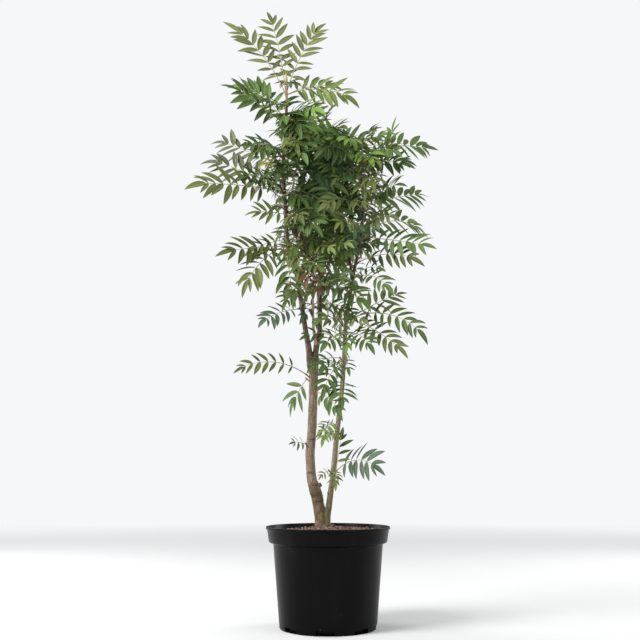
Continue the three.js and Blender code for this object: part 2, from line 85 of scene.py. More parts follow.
# Each limb's stations from its foot to its top: height, x, y and radius.
LIMBS = {
    "trunk_main": [
        [FOOT, -16, 2, 19], [258, -17.5, 2, 15.8], [288, -22.5, 1, 14.5], [303, -25.3, 0, 14.4],
        [325, -30, 0, 15.8], [345, -36, 0, 14.6], [363, -41, 0, 12.6], [390, -43.5, 0, 11.7],
        [425, -45.3, 0, 12.1], [453, -42.8, 0, 11.6], [500, -39.8, 0, 11.5], [590, -36.8, 0, 11.3],
        [632, -37, 0, 12], [FORK, -38.5, 0, 13.8],
    ],
    "leader_left": [
        [640, -43, 0, 8.6], [688, -48.4, -3, 8], [714, -52.8, -5, 7.2], [740, -57.5, -7, 6.7],
        [800, -67, -12, 6.3], [880, -80, -20, 6], [968, -104, -26, 5.6], [1066, -111, -28, 5.3],
        [1169, -118, -24, 4.9], [1270, -113, -15, 4.3], [1352, -110, -8, 3.7],
    ],
    "leader_middle": [
        [640, -34, 2, 7.8], [688, -30.6, 4, 7.6], [714, -25.8, 6, 7.4], [742, -21, 9, 6.3],
        [830, -20, 22, 5.8], [980, -18, 40, 5.2], [1080, -17, 52, 4.6], [1165, -21, 60, 3.8],
        [1262, -32, 62, 2.8],
    ],
    "stem_right": [
        [FOOT, -2, -2, 9.5], [262, -2, -2, 8.4], [291, 2, -4, 7.9], [333, 7.4, -6, 7.4], [366, 12, -8, 7],
        [480, 23.7, -12, 6.6], [587, 36, -14, 6], [690, 43, -16, 5.6], [765, 48, -16, 5.2],
        [840, 60, -16, 4.8], [890, 66, -16, 4.4],
    ],
    "leader_right": [
        [880, 65, -16, 4.1], [975, 86, -22, 3.7], [1070, 95, -26, 3.3], [1150, 90, -26, 2.9],
        [1225, 80, -20, 2.4],
    ],
    "twig_inner": [[870, 63, -15, 3.4], [950, 56, -2, 3], [1010, 46, 10, 2.6], [1058, 38, 18, 2.2]],
    "shoot_between": [
        [700, -31, 2, 4], [738, -36.2, -12, 3.6], [758, -37.5, -22, 3.3], [840, -38, -48, 2.8],
        [925, -34, -66, 2.2],
    ],
}
# The limbs that each limb's bark is blended into.
JOINED = {
    "trunk_main": ["leader_left", "leader_middle", "shoot_between", "stem_right"],
    "leader_left": ["trunk_main", "leader_middle", "shoot_between"],
    "leader_middle": ["trunk_main", "leader_left", "shoot_between"],
    "stem_right": ["trunk_main", "leader_right", "twig_inner"],
    "leader_right": ["stem_right", "twig_inner"],
    "twig_inner": ["stem_right", "leader_right"],
    "shoot_between": ["trunk_main", "leader_left", "leader_middle"],
}

# The bark's form: its rings, the trunk's narrowing into its fork, limb ends, relief, fillets and worn feet.
BARK = {
    "sides_per_radius": 3.2, "fewest_sides": 18, "most_sides": 44, "trunk_step": 0.5,
    "crotch": 630, "crotch_narrowing": 0.75, "end_narrowing": 0.9, "cap": 0.4, "full_relief_at": 13,
    "coarse_relief": 0.55, "fine_relief": 0.22, "thin_fillet": 0.6,
    "foot_height": 352, "foot_fade": 26, "foot_wear": 0.85, "thin_foot_wear": 0.5,
}
# Each kind of bark: its settings for foot and top, then the colours of its streaks and of its worn foot.
BARK_KINDS = {
    "trunk": ("old", "shaded", "665646", "54452f"),
    "right": ("olive", "shaded", "545239", "4c4a30"),
    "leader": ("shaded", "young", "5d4c3d", "5d4c3d"),
    "shoot": ("shoot", "shoot", "8d7a6b", "8d7a6b"),
}
KIND_OF_LIMB = {"trunk_main": "trunk", "stem_right": "right", "shoot_between": "shoot"}
# Old leaf scars and pruning marks: limb, height, extra radius, half length, bearing and tilt.
KNOTS = [
    ["trunk_main", 348, 0.9, 5, -70, 2],
    ["trunk_main", 326, 1.0, 5, -150, -3],
    ["trunk_main", 306, 0.8, 4, -60, 3],
    ["trunk_main", 371, 0.5, 3, -105, 7],
    ["trunk_main", 462.5, 1.0, 3.4, -55, -1],
    ["trunk_main", 546, 0.8, 6, 100, 2],
    ["stem_right", 325, 0.8, 4, -160, 1],
    ["stem_right", 372, 0.6, 5, -30, 1],
    ["stem_right", 465, 0.5, 4, -140, 1],
    ["stem_right", 560, 0.8, 5, -60, 2],
    ["stem_right", 655, 0.7, 5, 0, -2],
    ["leader_left", 760, 0.6, 5, -150, 2],
    ["leader_left", 880, 0.6, 5, 0, -2],
    ["leader_middle", 735, 0.8, 6, -40, 2],
]
# A knot's swelling and the furrow beneath it: how far they go round, and how deep and how dark they are.
# The swelling's darkness is scar colour; the furrow's is painted shade.
KNOT = {
    "all_round": 0.02, "one_side": 0.98, "swell": 1.25, "furrow": 0.5, "furrow_half": 0.3,
    "dark_swell": 0.35, "dark_furrow": 1.1,
}
# A cut branch's stump on the trunk.
STUB = {
    "height": 337, "rise": 32, "azimuth": -18, "length": 4.5, "radius": 5.6, "hollow": 0.8, "relief": 0.35,
    "wave": 1.7, "sides": 16,
}
# Growing tips beyond the leaders' ends: limb, length and sideways lean.
TIPS = [["leader_left", 100, -3], ["leader_middle", 34, -2], ["leader_right", 32, -3]]
TIP = {"sunk": 2, "sway": 1.2, "width": 0.96, "sides": 12}
# Wrinkles where the trunk bends, darkened with painted shade: heights and bearing.
WRINKLES = {
    "heights": [313, 318, 322, 327, 333, 338], "bearing": -130, "half": 1.5, "depth": 0.9, "sway": 1.5,
    "dark": 0.8,
}

# A spray is a spur on a limb with its leaves: name, limb, height, leaves that fan out in the solids too, the
# spur's own rise and length, tints of its leaves in turn, and its leaves as azimuth, rise, length and arch.
SPRAYS = [
    ["spray_top", "leader_left", 1352, 1, [85, 32], "young young young fresh young",
     [[152, 77, 276, 14], [14, 65, 258, 22], [-177, 52, 268, 33], [-12, -12, 215, 62], [19, 17, 170, 34]]],
    ["spray_left_6", "leader_left", 1290, 2, None, "green",
     [[-137, 17, 204, 7], [-70, -32, 190, 60], [165, 44, 172, 50]]],
    ["spray_left_5", "leader_left", 1170, 1, None, "shade deep", [[159, 27, 224, 8], [25, 41, 185, 32]]],
    ["spray_left_4", "leader_left", 1093, 1, None, "soft shade deep",
     [[-143, -7, 277, 11], [168, 26, 243, 20]]],
    ["spray_left_3", "leader_left", 1027, 1, None, "deep fresh green",
     [[-63, -27, 217, 35], [-155, -4, 116, 20]]],
    ["spray_left_2", "leader_left", 945, 0, None, "olive olive green",
     [[-140, -13, 213, 3], [-133, -45, 220, 43], [-73, -66, 189, 8]]],
    ["spray_left_1", "leader_left", 780, 1, None, "bluish deep", [[-122, -20, 195, 22]]],
    ["spray_middle_top", "leader_middle", 1262, 2, [85, 30], "fresh green deep",
     [[90, 55, 190, 20], [-75, 5, 190, 20]]],
    ["spray_right_top", "leader_right", 1225, 2, [80, 30], "green deep",
     [[29, 5, 260, -7], [-76, -9, 150, 5]]],
    ["spray_right_6", "leader_right", 1150, 0, None, "deep green",
     [[-126, -6, 222, 103], [-44, 47, 194, -115]]],
    ["spray_right_5", "leader_right", 1070, 1, None, "green deep", [[33, 16, 223, 4], [-65, 0, 189, 9]]],
    ["spray_right_4", "leader_right", 975, 0, None, "fresh green", [[30, 9, 232, 88], [-44, -16, 240, 4]]],
    ["spray_right_3", "leader_right", 905, 1, None, "olive deep", [[-36, -8, 195, 52]]],
    ["spray_right_2", "stem_right", 862, 0, None, "deep green", [[-61, -21, 190, 51], [-54, -1, 125, 68]]],
    ["spray_right_1", "stem_right", 755, 0, None, "green olive",
     [[-40, -18, 260, 65], [-43, -31, 215, 21], [28, 27, 203, 14]]],
    ["spray_low_5", "stem_right", 715, 0, None, "deep deep green",
     [[-70, -22, 185, 45], [-115, -22, 170, 40], [-93, -25, 175, 60]]],
    ["spray_low_4", "stem_right", 635, 0, None, "green deep green",
     [[-110, -12, 170, 35], [150, -5, 130, 45], [-115, -40, 160, 60]]],
    ["spray_low_3", "stem_right", 598, 0, None, "green deep", [[-92, -31, 168, 30], [160, -20, 120, 50]]],
    ["spray_low_2", "stem_right", 480, 0, None, "fresh deep", [[-105, -22, 160, 80], [112, -10, 130, 50]]],
    ["spray_low_1", "stem_right", 366, 0, None, "bluish olive",
     [[-57, -2, 210, 70], [60, 72, 120, 3], [-92, -45, 62, 50]]],
    ["spray_trunk_4", "trunk_main", 606, 0, None, "olive", [[-152, -1, 215, 66]]],
    ["spray_trunk_3", "trunk_main", 598, 0, None, "deep", [[158, -62, 105, 24]]],
    ["spray_trunk_2", "trunk_main", 562, 0, None, "deep", [[-60, -30, 140, 40]]],
    ["spray_trunk_1", "trunk_main", 430, 0, None, "fresh", [[-121, 1, 77, 17]]],
]
# Rows of sprays up a limb: name, limb, from, to, count, first bearing, length, leaves that fan out.
ROWS = [
    ["foliage_middle", "leader_middle", 800, 1190, 7, 20, 195, 3],
    ["foliage_left", "leader_left", 880, 1310, 6, 290, 190, 3],
    ["foliage_right", "leader_right", 930, 1180, 5, 110, 190, 3],
    ["foliage_stem", "stem_right", 790, 826, 2, 95, 190, 2],
    ["foliage_twig", "twig_inner", 960, 1056, 2, 150, 185, 2],
    ["foliage_shoot", "shoot_between", 815, 923, 2, 250, 185, 3],
]
# Finer rows, which fill the crown between those of the solids.
FINER_ROWS = [
    ["finer_middle", "leader_middle", 990, 1240, 10, 200, 180, 1],
    ["finer_left", "leader_left", 930, 1300, 11, 10, 175, 1],
    ["finer_right", "leader_right", 920, 1215, 10, 40, 180, 1],
    ["finer_stem", "stem_right", 700, 850, 3, 160, 165, 1],
    ["finer_twig", "twig_inner", 1000, 1050, 2, 60, 175, 1],
    ["finer_shoot", "shoot_between", 850, 915, 2, 100, 165, 1],
]
# Leaves that stand out at the front of the dense part: name, limb, height, tint, leaves.
ACCENTS = [
    ["drooping_dark", "leader_middle", 1215, "green", [[-64, -20, 222, 78], [-77, -27, 184, 40]]],
    ["under_tip", "leader_left", 1338, "deep", [[-120, -14, 118, 22], [-72, -52, 150, -12]]],
    ["arch_left", "leader_left", 1314, "green", [[172, 34, 182, 56]]],
    ["stem_cover", "leader_left", 1304, "green", [[-72, -40, 128, 30], [-100, -52, 110, 10]]],
    ["olive_left", "leader_left", 1292, "olive", [[-74, -45, 182, -8], [-64, -34, 167, 3]]],
    ["olive_middle", "leader_left", 1235, "green", [[-67, -33, 180, 3], [-95, -46, 180, -4]]],
    ["bright_middle", "leader_middle", 1252, "fresh", [[-67, -5, 196, 48], [-101, -9, 182, 80]]],
    ["green_right", "leader_right", 1205, "vivid", [[-102, -14, 200, 52], [-79, -33, 192, 57]]],
    ["bright_right", "leader_right", 1222, "vivid", [[-142, -6, 190, 40], [-118, -14, 170, 50]]],
    ["olive_right", "leader_right", 1110, "olive", [[-84, -22, 190, 73], [-92, -28, 180, 44]]],
    ["blue_inner", "twig_inner", 1030, "cool", [[-80, -51, 166, -17], [-107, -42, 147, -17]]],
    ["long_low", "leader_middle", 872, "green", [[-52, -28, 212, 5]]],
    ["hanging_olive", "leader_left", 942, "olive", [[-76, -42, 183, 43]]],
    ["withered_low", "shoot_between", 892, "withered", [[-98, -34, 152, 30], [-80, -50, 140, 20]]],
    ["withered_high", "shoot_between", 905, "withered", [[-122, 30, 118, 24], [-140, 6, 96, 10]]],
    ["pale_left", "leader_left", 1195, "pale", [[-148, -30, 71, -44]]],
    ["green_core", "leader_middle", 1120, "deep",
     [[-87, -34, 189, 38], [-63, -27, 184, 41], [-116, -28, 185, 36]]],
    ["core_low", "leader_middle", 1020, "green", [[-99, -35, 188, 40], [-70, -29, 187, 27]]],
    ["left_upright", "leader_left", 1185, "green", [[133, 18, 136, 4]]],
    ["dark_left", "leader_left", 1212, "deep", [[-150, -4, 118, 30], [-122, -24, 150, 30]]],
    ["dark_under", "leader_left", 1122, "deep",
     [[-128, -20, 136, 30], [-144, -10, 142, 40], [-106, -30, 116, 10]]],
    ["olive_low_left", "leader_left", 962, "olive", [[-150, -24, 120, 20]]],
    ["dark_low_left", "leader_left", 838, "green", [[-112, -38, 118, 24]]],
    ["right_between", "leader_right", 1172, "green", [[-14, -2, 140, 18], [-34, -14, 150, 30]]],
    ["bright_low", "stem_right", 462, "fresh",
     [[-128, -10, 70, 80], [-108, -18, 85, 80], [-84, -20, 80, 90]]],
    ["fork_green", "leader_middle", 802, "bluish", [[-118, -35, 112, 30], [-92, -50, 98, 20]]],
    ["between_stems", "stem_right", 652, "green", [[-128, -18, 140, 40], [-80, -26, 126, 40]]],
    ["low_right", "stem_right", 752, "olive", [[-114, -14, 134, 40], [-62, -12, 124, 40]]],
    ["top_back", "leader_left", 1404, "green", [[88, 26, 170, 26], [-84, -20, 110, 20]]],
    ["top_back_high", "leader_left", 1492, "fresh", [[98, 24, 130, 20]]],
    ["low_tuft", "stem_right", 368, "olive", [[-128, -26, 48, 44], [-60, -30, 52, 60]]],
    ["top_between", "leader_middle", 1256, "vivid", [[-12, 2, 178, 24], [-32, -14, 166, 30]]],
    ["right_tip", "leader_right", 1218, "vivid",
     [[-158, 16, 150, 34], [-24, 14, 112, 30], [170, 20, 120, 30]]],
]
# Where the crown is dense: height, furthest left and furthest right. A leaf of a row or of the fan rule that
# is outside it at one of the checked shares of its length is skipped.
CORE = [
    [640, -60, 75], [740, -80, 85], [800, -115, 90], [900, -135, 125], [1000, -150, 180],
    [1100, -180, 180], [1200, -175, 200], [1260, -140, 170], [1300, -140, 50], [1340, -155, -85],
]
CORE_CHECKS = [0.4, 0.6, 0.8, 1]
# Sprays that have no finer leaves, as they stand outside the dense part.
PLAIN_SPRAYS = ("spray_low", "spray_trunk", "spray_top", "spray_right_1", "spray_right_2", "spray_right_3",
                "foliage_stem", "foliage_twig", "foliage_shoot")
# How the sprays of a row turn, rise and bend, and the leaves that fan out round a spray's first one.
ROW_NAMES = ("foliage_", "finer_")
TURN_OF_ROW = 137.5
RISE_OF_ROW = -14
ARCH_OF_ROW = 60
SPUR_RISE = 40
SPUR_LENGTH = 10
FAN = {
    "offsets": [70, -75, 125, -150, 25], "spread": 18, "rise": -8, "rise_spread": 24,
    "arch": 55, "arch_spread": 20, "length": 0.86, "length_spread": 0.08,
}
# Leaves that each spray of the dense part has beyond those of the solids, and their share of the length.
FINER = {"count": 2, "length": 0.86}
# The blades turn towards the light by this share of the angle to it.
LIGHT = np.array([0, -0.985, 0.17])
LIGHT_TURN = 0.95
LIGHT_LEAST = 0.15
# Seeds of the sprays' random numbers, as in the solid model, and how far leaves keep from the bark.
SEED = {"first": 1000, "step": 37}
LIMB_MARGIN = {"stalk": 1.5, "leaflet": 0.8}
STALK_CHECKS = np.linspace(0.07, 1, 24)

# Leaf tints as plain base colours, upper side and underside.
TINTS = {
    # young is pale yellow-green, partly as painted light shining through the top leaves.
    "young": ("747c48", "7f8759"),
    "fresh": ("5f7032", "6f7f4b"),
    "green": ("4c652a", "5e713f"),
    "vivid": ("5d7d2f", "6c8742"),
    # deep is a dark green, also given to leaves of the dense core as painted shade.
    "deep": ("3b521f", "4a5d31"),
    # bluish is bluish-green as a painted reflection of the pale sky on glossy upper sides.
    "bluish": ("40573f", "506551"),
    # cool is a dark green whose bluish tinge is a painted highlight on the inner leaves.
    "cool": ("405f3a", "4f6d4a"),
    "olive": ("57612d", "676f42"),
    "soft": ("5c6833", "6c7548"),
    "shade": ("4a5036", "5b6148"),
    "pale": ("a39a3e", "a59c52"),
    "withered": ("5c3524", "6c4733"),
}
# Tints of the leaves that the rules add: from a height up, then left of, between and right of the edges.
TINT_EDGES = [-70, 60]
# Above 1.05 m the left and middle get dark tints as painted shade; above 1.19 m the middle and right get
# vivid ones as painted light.
ZONE_TINTS = [
    [0, "olive green", "olive green deep", "green olive fresh"],
    [800, "olive green", "green soft fresh green", "soft cool fresh"],
    [1050, "deep deep green", "deep cool deep", "green olive green"],
    [1190, "deep green", "vivid green vivid", "vivid green"],
]
# A piece has at most this many leaflets, each of 180 triangles.
LEAFLETS_IN_PIECE = 1100

# A leaflet's mesh and outline, its pairs on a leaf, and the angle that it stands at from the stalk.
LEAFLET = {
    "stations": 9, "first_tooth": 2, "width": 0.25, "tooth": 0.016, "fold": 0.24, "keel": 0.012,
    "steps": (0, 0.2, 0.4, 0.6, 0.8, 1), "fullness": (0.76, 0.88, 0.97, 1.03, 1.0, 0.72), "base_length": 16,
    "length_share": 0.2, "longest": 56, "widest_power": 0.66, "tip_power": 0.98, "fold_fall": 0.45,
    "fold_gain": 1.6, "pair_distance": 33, "fewest_pairs": 3, "most_pairs": 8, "crowding": 0.95,
    "end_share": 0.86, "end_gap": 0.025, "angle": 68, "angle_fall": 30, "angle_power": 1.2,
    "tooth_marks": ((0.4, 1), (0.5, 0), (0.9, 1)), "tooth_taper": 0.5,
}
# How leaflets stand and hang, and how they differ from each other: shares, but for the angle in degrees.
POSE = {
    "size_spread": 0.06, "width_spread": 0.07, "angle_spread": 5, "lift": 0.10, "lift_spread": 0.10,
    "end_lift": 0.06, "roll": 0.16, "skyward": 0.25, "downward": 0.7, "backward": 0.55, "inward": 0.5,
    "droop": 0.48, "droop_spread": 0.16, "least_droop": 0.02, "most_pull": 1.1, "tone_spread": 0.5,
    "leaf_tone_spread": 0.7,
}
# Sprays and rows whose leaflets are larger or smaller than the length of their leaves would give.
LEAFLET_SCALE = {
    "spray_top": 1.02, "spray_left_6": 1.26, "spray_left_4": 1.1, "spray_left_3": 1.15, "spray_left_1": 0.78,
    "spray_middle_top": 0.9, "spray_right_6": 0.9, "spray_right_3": 0.86, "spray_right_2": 0.76,
    "spray_right_1": 0.84, "spray_low_5": 0.9, "spray_low_2": 0.7, "spray_trunk_4": 0.66,
    "spray_trunk_3": 1.5, "spray_trunk_1": 0.9, "foliage_middle": 0.85, "foliage_left": 1.25,
    "foliage_left_1": 0.85, "foliage_left_2": 0.9, "foliage_stem": 0.8, "foliage_twig": 0.85,
    "foliage_shoot": 0.8, "finer_middle": 0.84, "finer_left": 1.2, "finer_right": 0.82, "finer_stem": 0.8,
    "finer_shoot": 0.8, "arch_left": 1.15, "hanging_olive": 0.85, "core_low": 0.85, "between_stems": 0.85,
    "bright_low": 0.8, "low_tuft": 0.75,
}
# The bare part of a leaf's stalk, and how thick the stalk is along its length and on a short leaf.
STALK_SHARE = 0.22
STALK = {
    "least": 0.45, "gain": 0.55, "full_length": 290, "taper": 0.72, "swelling": 0.7, "swelling_reach": 0.03,
    "sides": 6,
}
TWIG = {"bud": 9, "sides": 8}

# ---- Stage: metres, degrees and linear colours, and the floor's radius in millimetres ----

CAMERA = {"place": (-0.020, -2.277, 0.375), "tilt": 9.766, "sensor": 36}
# Lamps: place, height that they aim at, size, and the setting and share of their power.
LAMPS = {
    "key": [(-2.8, -1.9, 2.7), 0.8, 2.0, "key", 1],
    "fill": [(2.4, -1.8, 1.6), 0.8, 2.4, "key", 0.14],
    "left_edge": [(-2.4, 1.4, 1.3), 0.6, 1.3, "edge", 1],
    "right_edge": [(2.4, 1.4, 1.3), 0.6, 1.3, "edge", 1],
}
SURROUND = (0.925, 0.93, 0.945, 1)
SKYLIGHT = (0.97, 0.985, 1.0, 1)
FLOOR = {"radius": 14000, "sides": 96, "lit_to": 1.0, "own_light_from": 5.0}

Leaf = namedtuple("Leaf", "foot azimuth rise length arch tint spray")


# ---- Shader graphs ----

def paint(code):
    """A colour code of six hexadecimal digits as linear red, green and blue."""
    share = np.array([int(code[i:i + 2], 16) for i in (0, 2, 4)]) / 255
    linear = np.where(share <= 0.04045, share / 12.92, ((share + 0.055) / 1.055) ** 2.4)
    return tuple(float(x) for x in linear)


class Signal:
    """A shader socket that takes part in arithmetic; each operation adds a Math node."""

    def __init__(self, shader, socket):
        self.shader = shader
        self.socket = socket

    def join(self, operation, first, second):
        return self.shader.add("Math", {"operation": operation}, {0: first, 1: second})

    def __add__(self, other):
        return self.join("ADD", self, other)

    def __radd__(self, other):
        return self.join("ADD", other, self)

    def __sub__(self, other):
        return self.join("SUBTRACT", self, other)

    def __rsub__(self, other):
        return self.join("SUBTRACT", other, self)

    def __mul__(self, other):
        return self.join("MULTIPLY", self, other)

    def __rmul__(self, other):
        return self.join("MULTIPLY", other, self)


class Shader:
    """A material, or a world, whose nodes are added one call at a time."""

    def __init__(self, name, store=None):
        self.owner = (bpy.data.materials if store is None else store).new(name)
        self.owner.use_nodes = True
        self.tree = self.owner.node_tree
        self.tree.nodes.clear()

    def add(self, kind, settings=None, sockets=None, output=0):
        """One node: its settings first, then the values or links of its sockets."""
        node = self.tree.nodes.new("ShaderNode" + kind)
        for key, value in (settings or {}).items():
            setattr(node, key, value)
        for key, value in (sockets or {}).items():
            if isinstance(value, Signal):
                self.tree.links.new(value.socket, node.inputs[key])
            else:
                node.inputs[key].default_value = value
        return Signal(self, node.outputs[output]) if node.outputs else None

    def place(self):
        """Object coordinates."""
        return self.add("TexCoord", output=3)

    def scaled(self, vector, scale):
        return self.add("VectorMath", {"operation": "MULTIPLY"}, {0: vector, 1: scale})

    def noise(self, vector, scale, detail, roughness=0.55):
        sockets = {"Vector": vector, "Scale": scale, "Detail": detail, "Roughness": roughness}
        return self.add("TexNoise", sockets=sockets)

    def cells(self, vector, scale):
        return self.add("TexVoronoi", sockets={"Vector": vector, "Scale": scale})

    def attribute(self, name):
        return self.add("Attribute", {"attribute_name": name}, output=2)

    def band(self, value, low, high, bottom=0.0, top=1.0):
        """value carried from low..high to bottom..top along a smooth step."""
        return self.add("MapRange", {"interpolation_type": "SMOOTHSTEP"},
                        {0: value, 1: low, 2: high, 3: bottom, 4: top})

    def mix(self, factor, first, second, blend="MIX"):
        colours = {6: first, 7: second}
        sockets = {k: v if isinstance(v, Signal) else (*v, 1.0) for k, v in colours.items()}
        return self.add("Mix", {"data_type": "RGBA", "blend_type": blend}, {0: factor, **sockets}, 2)

    def finish(self, colour, roughness, specular, relief, strength, distance):
        """The material with its Principled shader over a bump."""
        normal = self.add("Bump", sockets={"Height": relief, "Strength": strength, "Distance": distance})
        surface = self.add("BsdfPrincipled", sockets={
            "Base Color": colour, "Roughness": roughness, "Specular IOR Level": specular, "Normal": normal,
        })
        self.add("OutputMaterial", sockets={"Surface": surface})
        return self.owner


# ---- Meshes ----

def put_object(name, data, place=(0, 0, 0), turn=(0, 0, 0)):
    """An object in the scene, at a place in metres and turned by Euler angles."""
    made = bpy.data.objects.new(name, data)
    made.location, made.rotation_euler = place, turn
    bpy.context.scene.collection.objects.link(made)
    return made


def put_mesh(name, points, polygons, materials, uv=None, values=None, sharp=None, finish=None):
    """An object from points in millimetres and a list of arrays of corner numbers, one row a face.

    values are the points' numbers by name, sharp is an array of vertex pairs, and finish is the material
    number of each face.
    """
    corners = np.concatenate([p.ravel() for p in polygons]).astype(np.int32)
    sizes = np.concatenate([np.full(len(p), p.shape[1]) for p in polygons])
    starts = np.concatenate([[0], np.cumsum(sizes)[:-1]]).astype(np.int32)
    mesh = bpy.data.meshes.new(name)
    mesh.vertices.add(len(points))
    mesh.vertices.foreach_set("co", (np.asarray(points) * MM).astype(np.float32).ravel())
    mesh.loops.add(len(corners))
    mesh.loops.foreach_set("vertex_index", corners)
    mesh.polygons.add(len(starts))
    mesh.polygons.foreach_set("loop_start", starts)
    if finish is not None:
        mesh.polygons.foreach_set("material_index", np.asarray(finish, np.int32))
    mesh.polygons.foreach_set("use_smooth", np.ones(len(starts), bool))
    mesh.update(calc_edges=True)
    if uv is not None:
        layer = mesh.uv_layers.new(name="UVMap")
        layer.data.foreach_set("uv", np.asarray(uv, np.float32)[corners].ravel())
    for key, value in (values or {}).items():
        attribute = mesh.attributes.new(key, "FLOAT", "POINT")
        attribute.data.foreach_set("value", np.asarray(value, np.float32).ravel())
    if sharp is not None:
        ends = np.empty(len(mesh.edges) * 2, np.int32)
        mesh.edges.foreach_get("vertices", ends)
        ends = np.sort(ends.reshape(-1, 2), axis=1).astype(np.int64)
        wanted = np.sort(np.asarray(sharp, np.int64), axis=1)
        count = len(points)
        marks = np.isin(ends[:, 0] * count + ends[:, 1], wanted[:, 0] * count + wanted[:, 1])
        mesh.attributes.new("sharp_edge", "BOOLEAN", "EDGE").data.foreach_set("value", marks)
    for material in materials:
        mesh.materials.append(material)
    return put_object(name, mesh)


def settle(piece, slot, *nodes):
    """Lets a piece ride on the one body and stand for its nodes; slot is not used."""
    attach(piece, "root")
    if nodes:
        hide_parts(*nodes)
    return piece


def bearings(count):
    """The angles of `count` equal steps round a full turn."""
    return np.arange(count) * 2 * math.pi / count


def grid_faces(rows, columns):
    """The quads of a grid of rows by columns, joined round its columns."""
    i, j = np.meshgrid(np.arange(rows - 1), np.arange(columns), indexing="ij")
    right = (j + 1) % columns
    corners = [i * columns + j, i * columns + right, (i + 1) * columns + right, (i + 1) * columns + j]
    return np.stack(corners, -1).reshape(-1, 4)


def pole_faces(ring, pole, upward):
    """Triangles from a ring of corner numbers to a pole."""
    following = np.roll(ring, -1)
    order = [ring, following] if upward else [following, ring]
    return np.stack([*order, np.full_like(ring, pole)], -1)


def unit(vectors):
    """The vectors at length 1."""
    return vectors / np.linalg.norm(vectors, axis=-1, keepdims=True)


def rounded(rows):
    """A profile from rows of radius, height and reach, with its inner corners eased.

    Each becomes a quadratic arc that starts and ends `reach` from it, at most `most` of the way to the next.
    """
    t, most = np.linspace(0, 1, 5)[:, None], 0.45
    rows = np.asarray(rows, float)
    profile = rows[:, :2]
    made = [profile[:1]]
    for before, corner, after, reach in zip(profile[:-2], profile[1:-1], profile[2:], rows[1:-1, 2]):
        if reach == 0:
            made.append(corner[None])
            continue
        start = corner + (before - corner) * min(reach / np.linalg.norm(before - corner), most)
        end = corner + (after - corner) * min(reach / np.linalg.norm(after - corner), most)
        made.append((1 - t) ** 2 * start + 2 * t * (1 - t) * corner + t ** 2 * end)
    made.append(profile[-1:])
    return np.concatenate(made)


def turned(profile, angles):
    """Points and faces of a profile of radius and height, from axis to axis, turned through the bearings."""
    radius, height = profile[1:-1, 0], profile[1:-1, 1]
    ring = np.stack([radius[:, None] * np.cos(angles), radius[:, None] * np.sin(angles),
                     np.broadcast_to(height[:, None], (len(radius), len(angles)))], -1)
    points = np.concatenate([ring.reshape(-1, 3), [[0, 0, profile[0, 1]], [0, 0, profile[-1, 1]]]])
    count, around = len(radius), len(angles)
    first, last = np.arange(around), np.arange(around) + (count - 1) * around
    faces = [grid_faces(count, around), pole_faces(first, count * around, False),
             pole_faces(last, count * around + 1, True)]
    return points, faces


def tubes(paths, radii, sides):
    """Closed round bars along paths: each ring stands square to its path, and flat faces end the bar."""
    count, rings, _ = paths.shape
    along = unit(np.gradient(paths, axis=1))
    side = np.cross(along, [0.0, 0.0, 1.0])
    weak = np.linalg.norm(side, axis=-1, keepdims=True) < 0.05
    side = unit(np.where(weak, np.cross(along, [1.0, 0.0, 0.0]), side))
    upper = np.cross(side, along)
    turn = bearings(sides)
    ring = np.cos(turn)[:, None] * side[:, :, None] + np.sin(turn)[:, None] * upper[:, :, None]
    points = paths[:, :, None] + ring * radii[:, :, None, None]
    starts = np.arange(count)[:, None, None] * rings * sides
    quads = (grid_faces(rings, sides)[None, :, ::-1] + starts).reshape(-1, 4)
    foot = np.arange(sides)[None] + starts[:, 0]
    top = np.arange(sides)[None, ::-1] + (rings - 1) * sides + starts[:, 0]
    return points.reshape(-1, 3), [quads, foot, top]


def put_bars(name, paths, radii, sides, finish, fade):
    """Bars as one piece, with a fade for each ring of all of them in turn."""
    points, faces = tubes(paths, radii, sides)
    return put_mesh(name, points, faces, [finish], values={"fade": np.repeat(fade, sides)})


def waves(around, along, seed, longest, shortest, count=14):
    """Relief from about -1 to 1 on a bar: a sum of cosines with whole turns round it and seeded phases."""
    draw = np.random.default_rng(seed)
    turns = draw.integers(0, 6, count)
    lengths = np.exp(draw.uniform(math.log(shortest), math.log(longest), count))
    phase = draw.uniform(0, 2 * math.pi, (2, count))
    total = sum(math.sqrt(length / longest) * np.cos(turn * around + p)
                * np.cos(2 * math.pi * along / length + q)
                for turn, length, p, q in zip(turns, lengths, *phase))
    return total / math.sqrt(count)


# ---- Limbs ----

def limb_at(name, z):
    """x, y and radius of a limb at heights z, by cubic Hermite spans between its stations."""
    rows = np.array(LIMBS[name], float)
    heights, values = rows[:, 0], rows[:, 1:]
    number, last = np.arange(len(rows)), len(rows) - 1
    before, after = np.maximum(number - 1, 0), np.minimum(number + 1, last)
    slopes = (values[after] - values[before]) / (heights[after] - heights[before])[:, None]
    z = np.asarray(z, float)
    i = np.clip(np.searchsorted(heights, z) - 1, 0, len(rows) - 2)
    span = (heights[i + 1] - heights[i])[..., None]
    t = np.clip((z[..., None] - heights[i][..., None]) / span, 0, 1)
    return ((2 * t ** 3 - 3 * t ** 2 + 1) * values[i] + (t ** 3 - 2 * t ** 2 + t) * slopes[i] * span
            + (3 * t ** 2 - 2 * t ** 3) * values[i + 1] + (t ** 3 - t ** 2) * slopes[i + 1] * span)


def limb_distance(name, points):
    """How far points are from a limb's bark, with round ends; negative inside."""
    foot, top = LIMBS[name][0][0], LIMBS[name][-1][0]
    height = np.clip(points[..., 2], foot, top)
    x, y, radius = np.moveaxis(limb_at(name, height), -1, 0)
    beyond = points[..., 2] - height
    return np.sqrt((points[..., 0] - x) ** 2 + (points[..., 1] - y) ** 2 + beyond ** 2) - radius


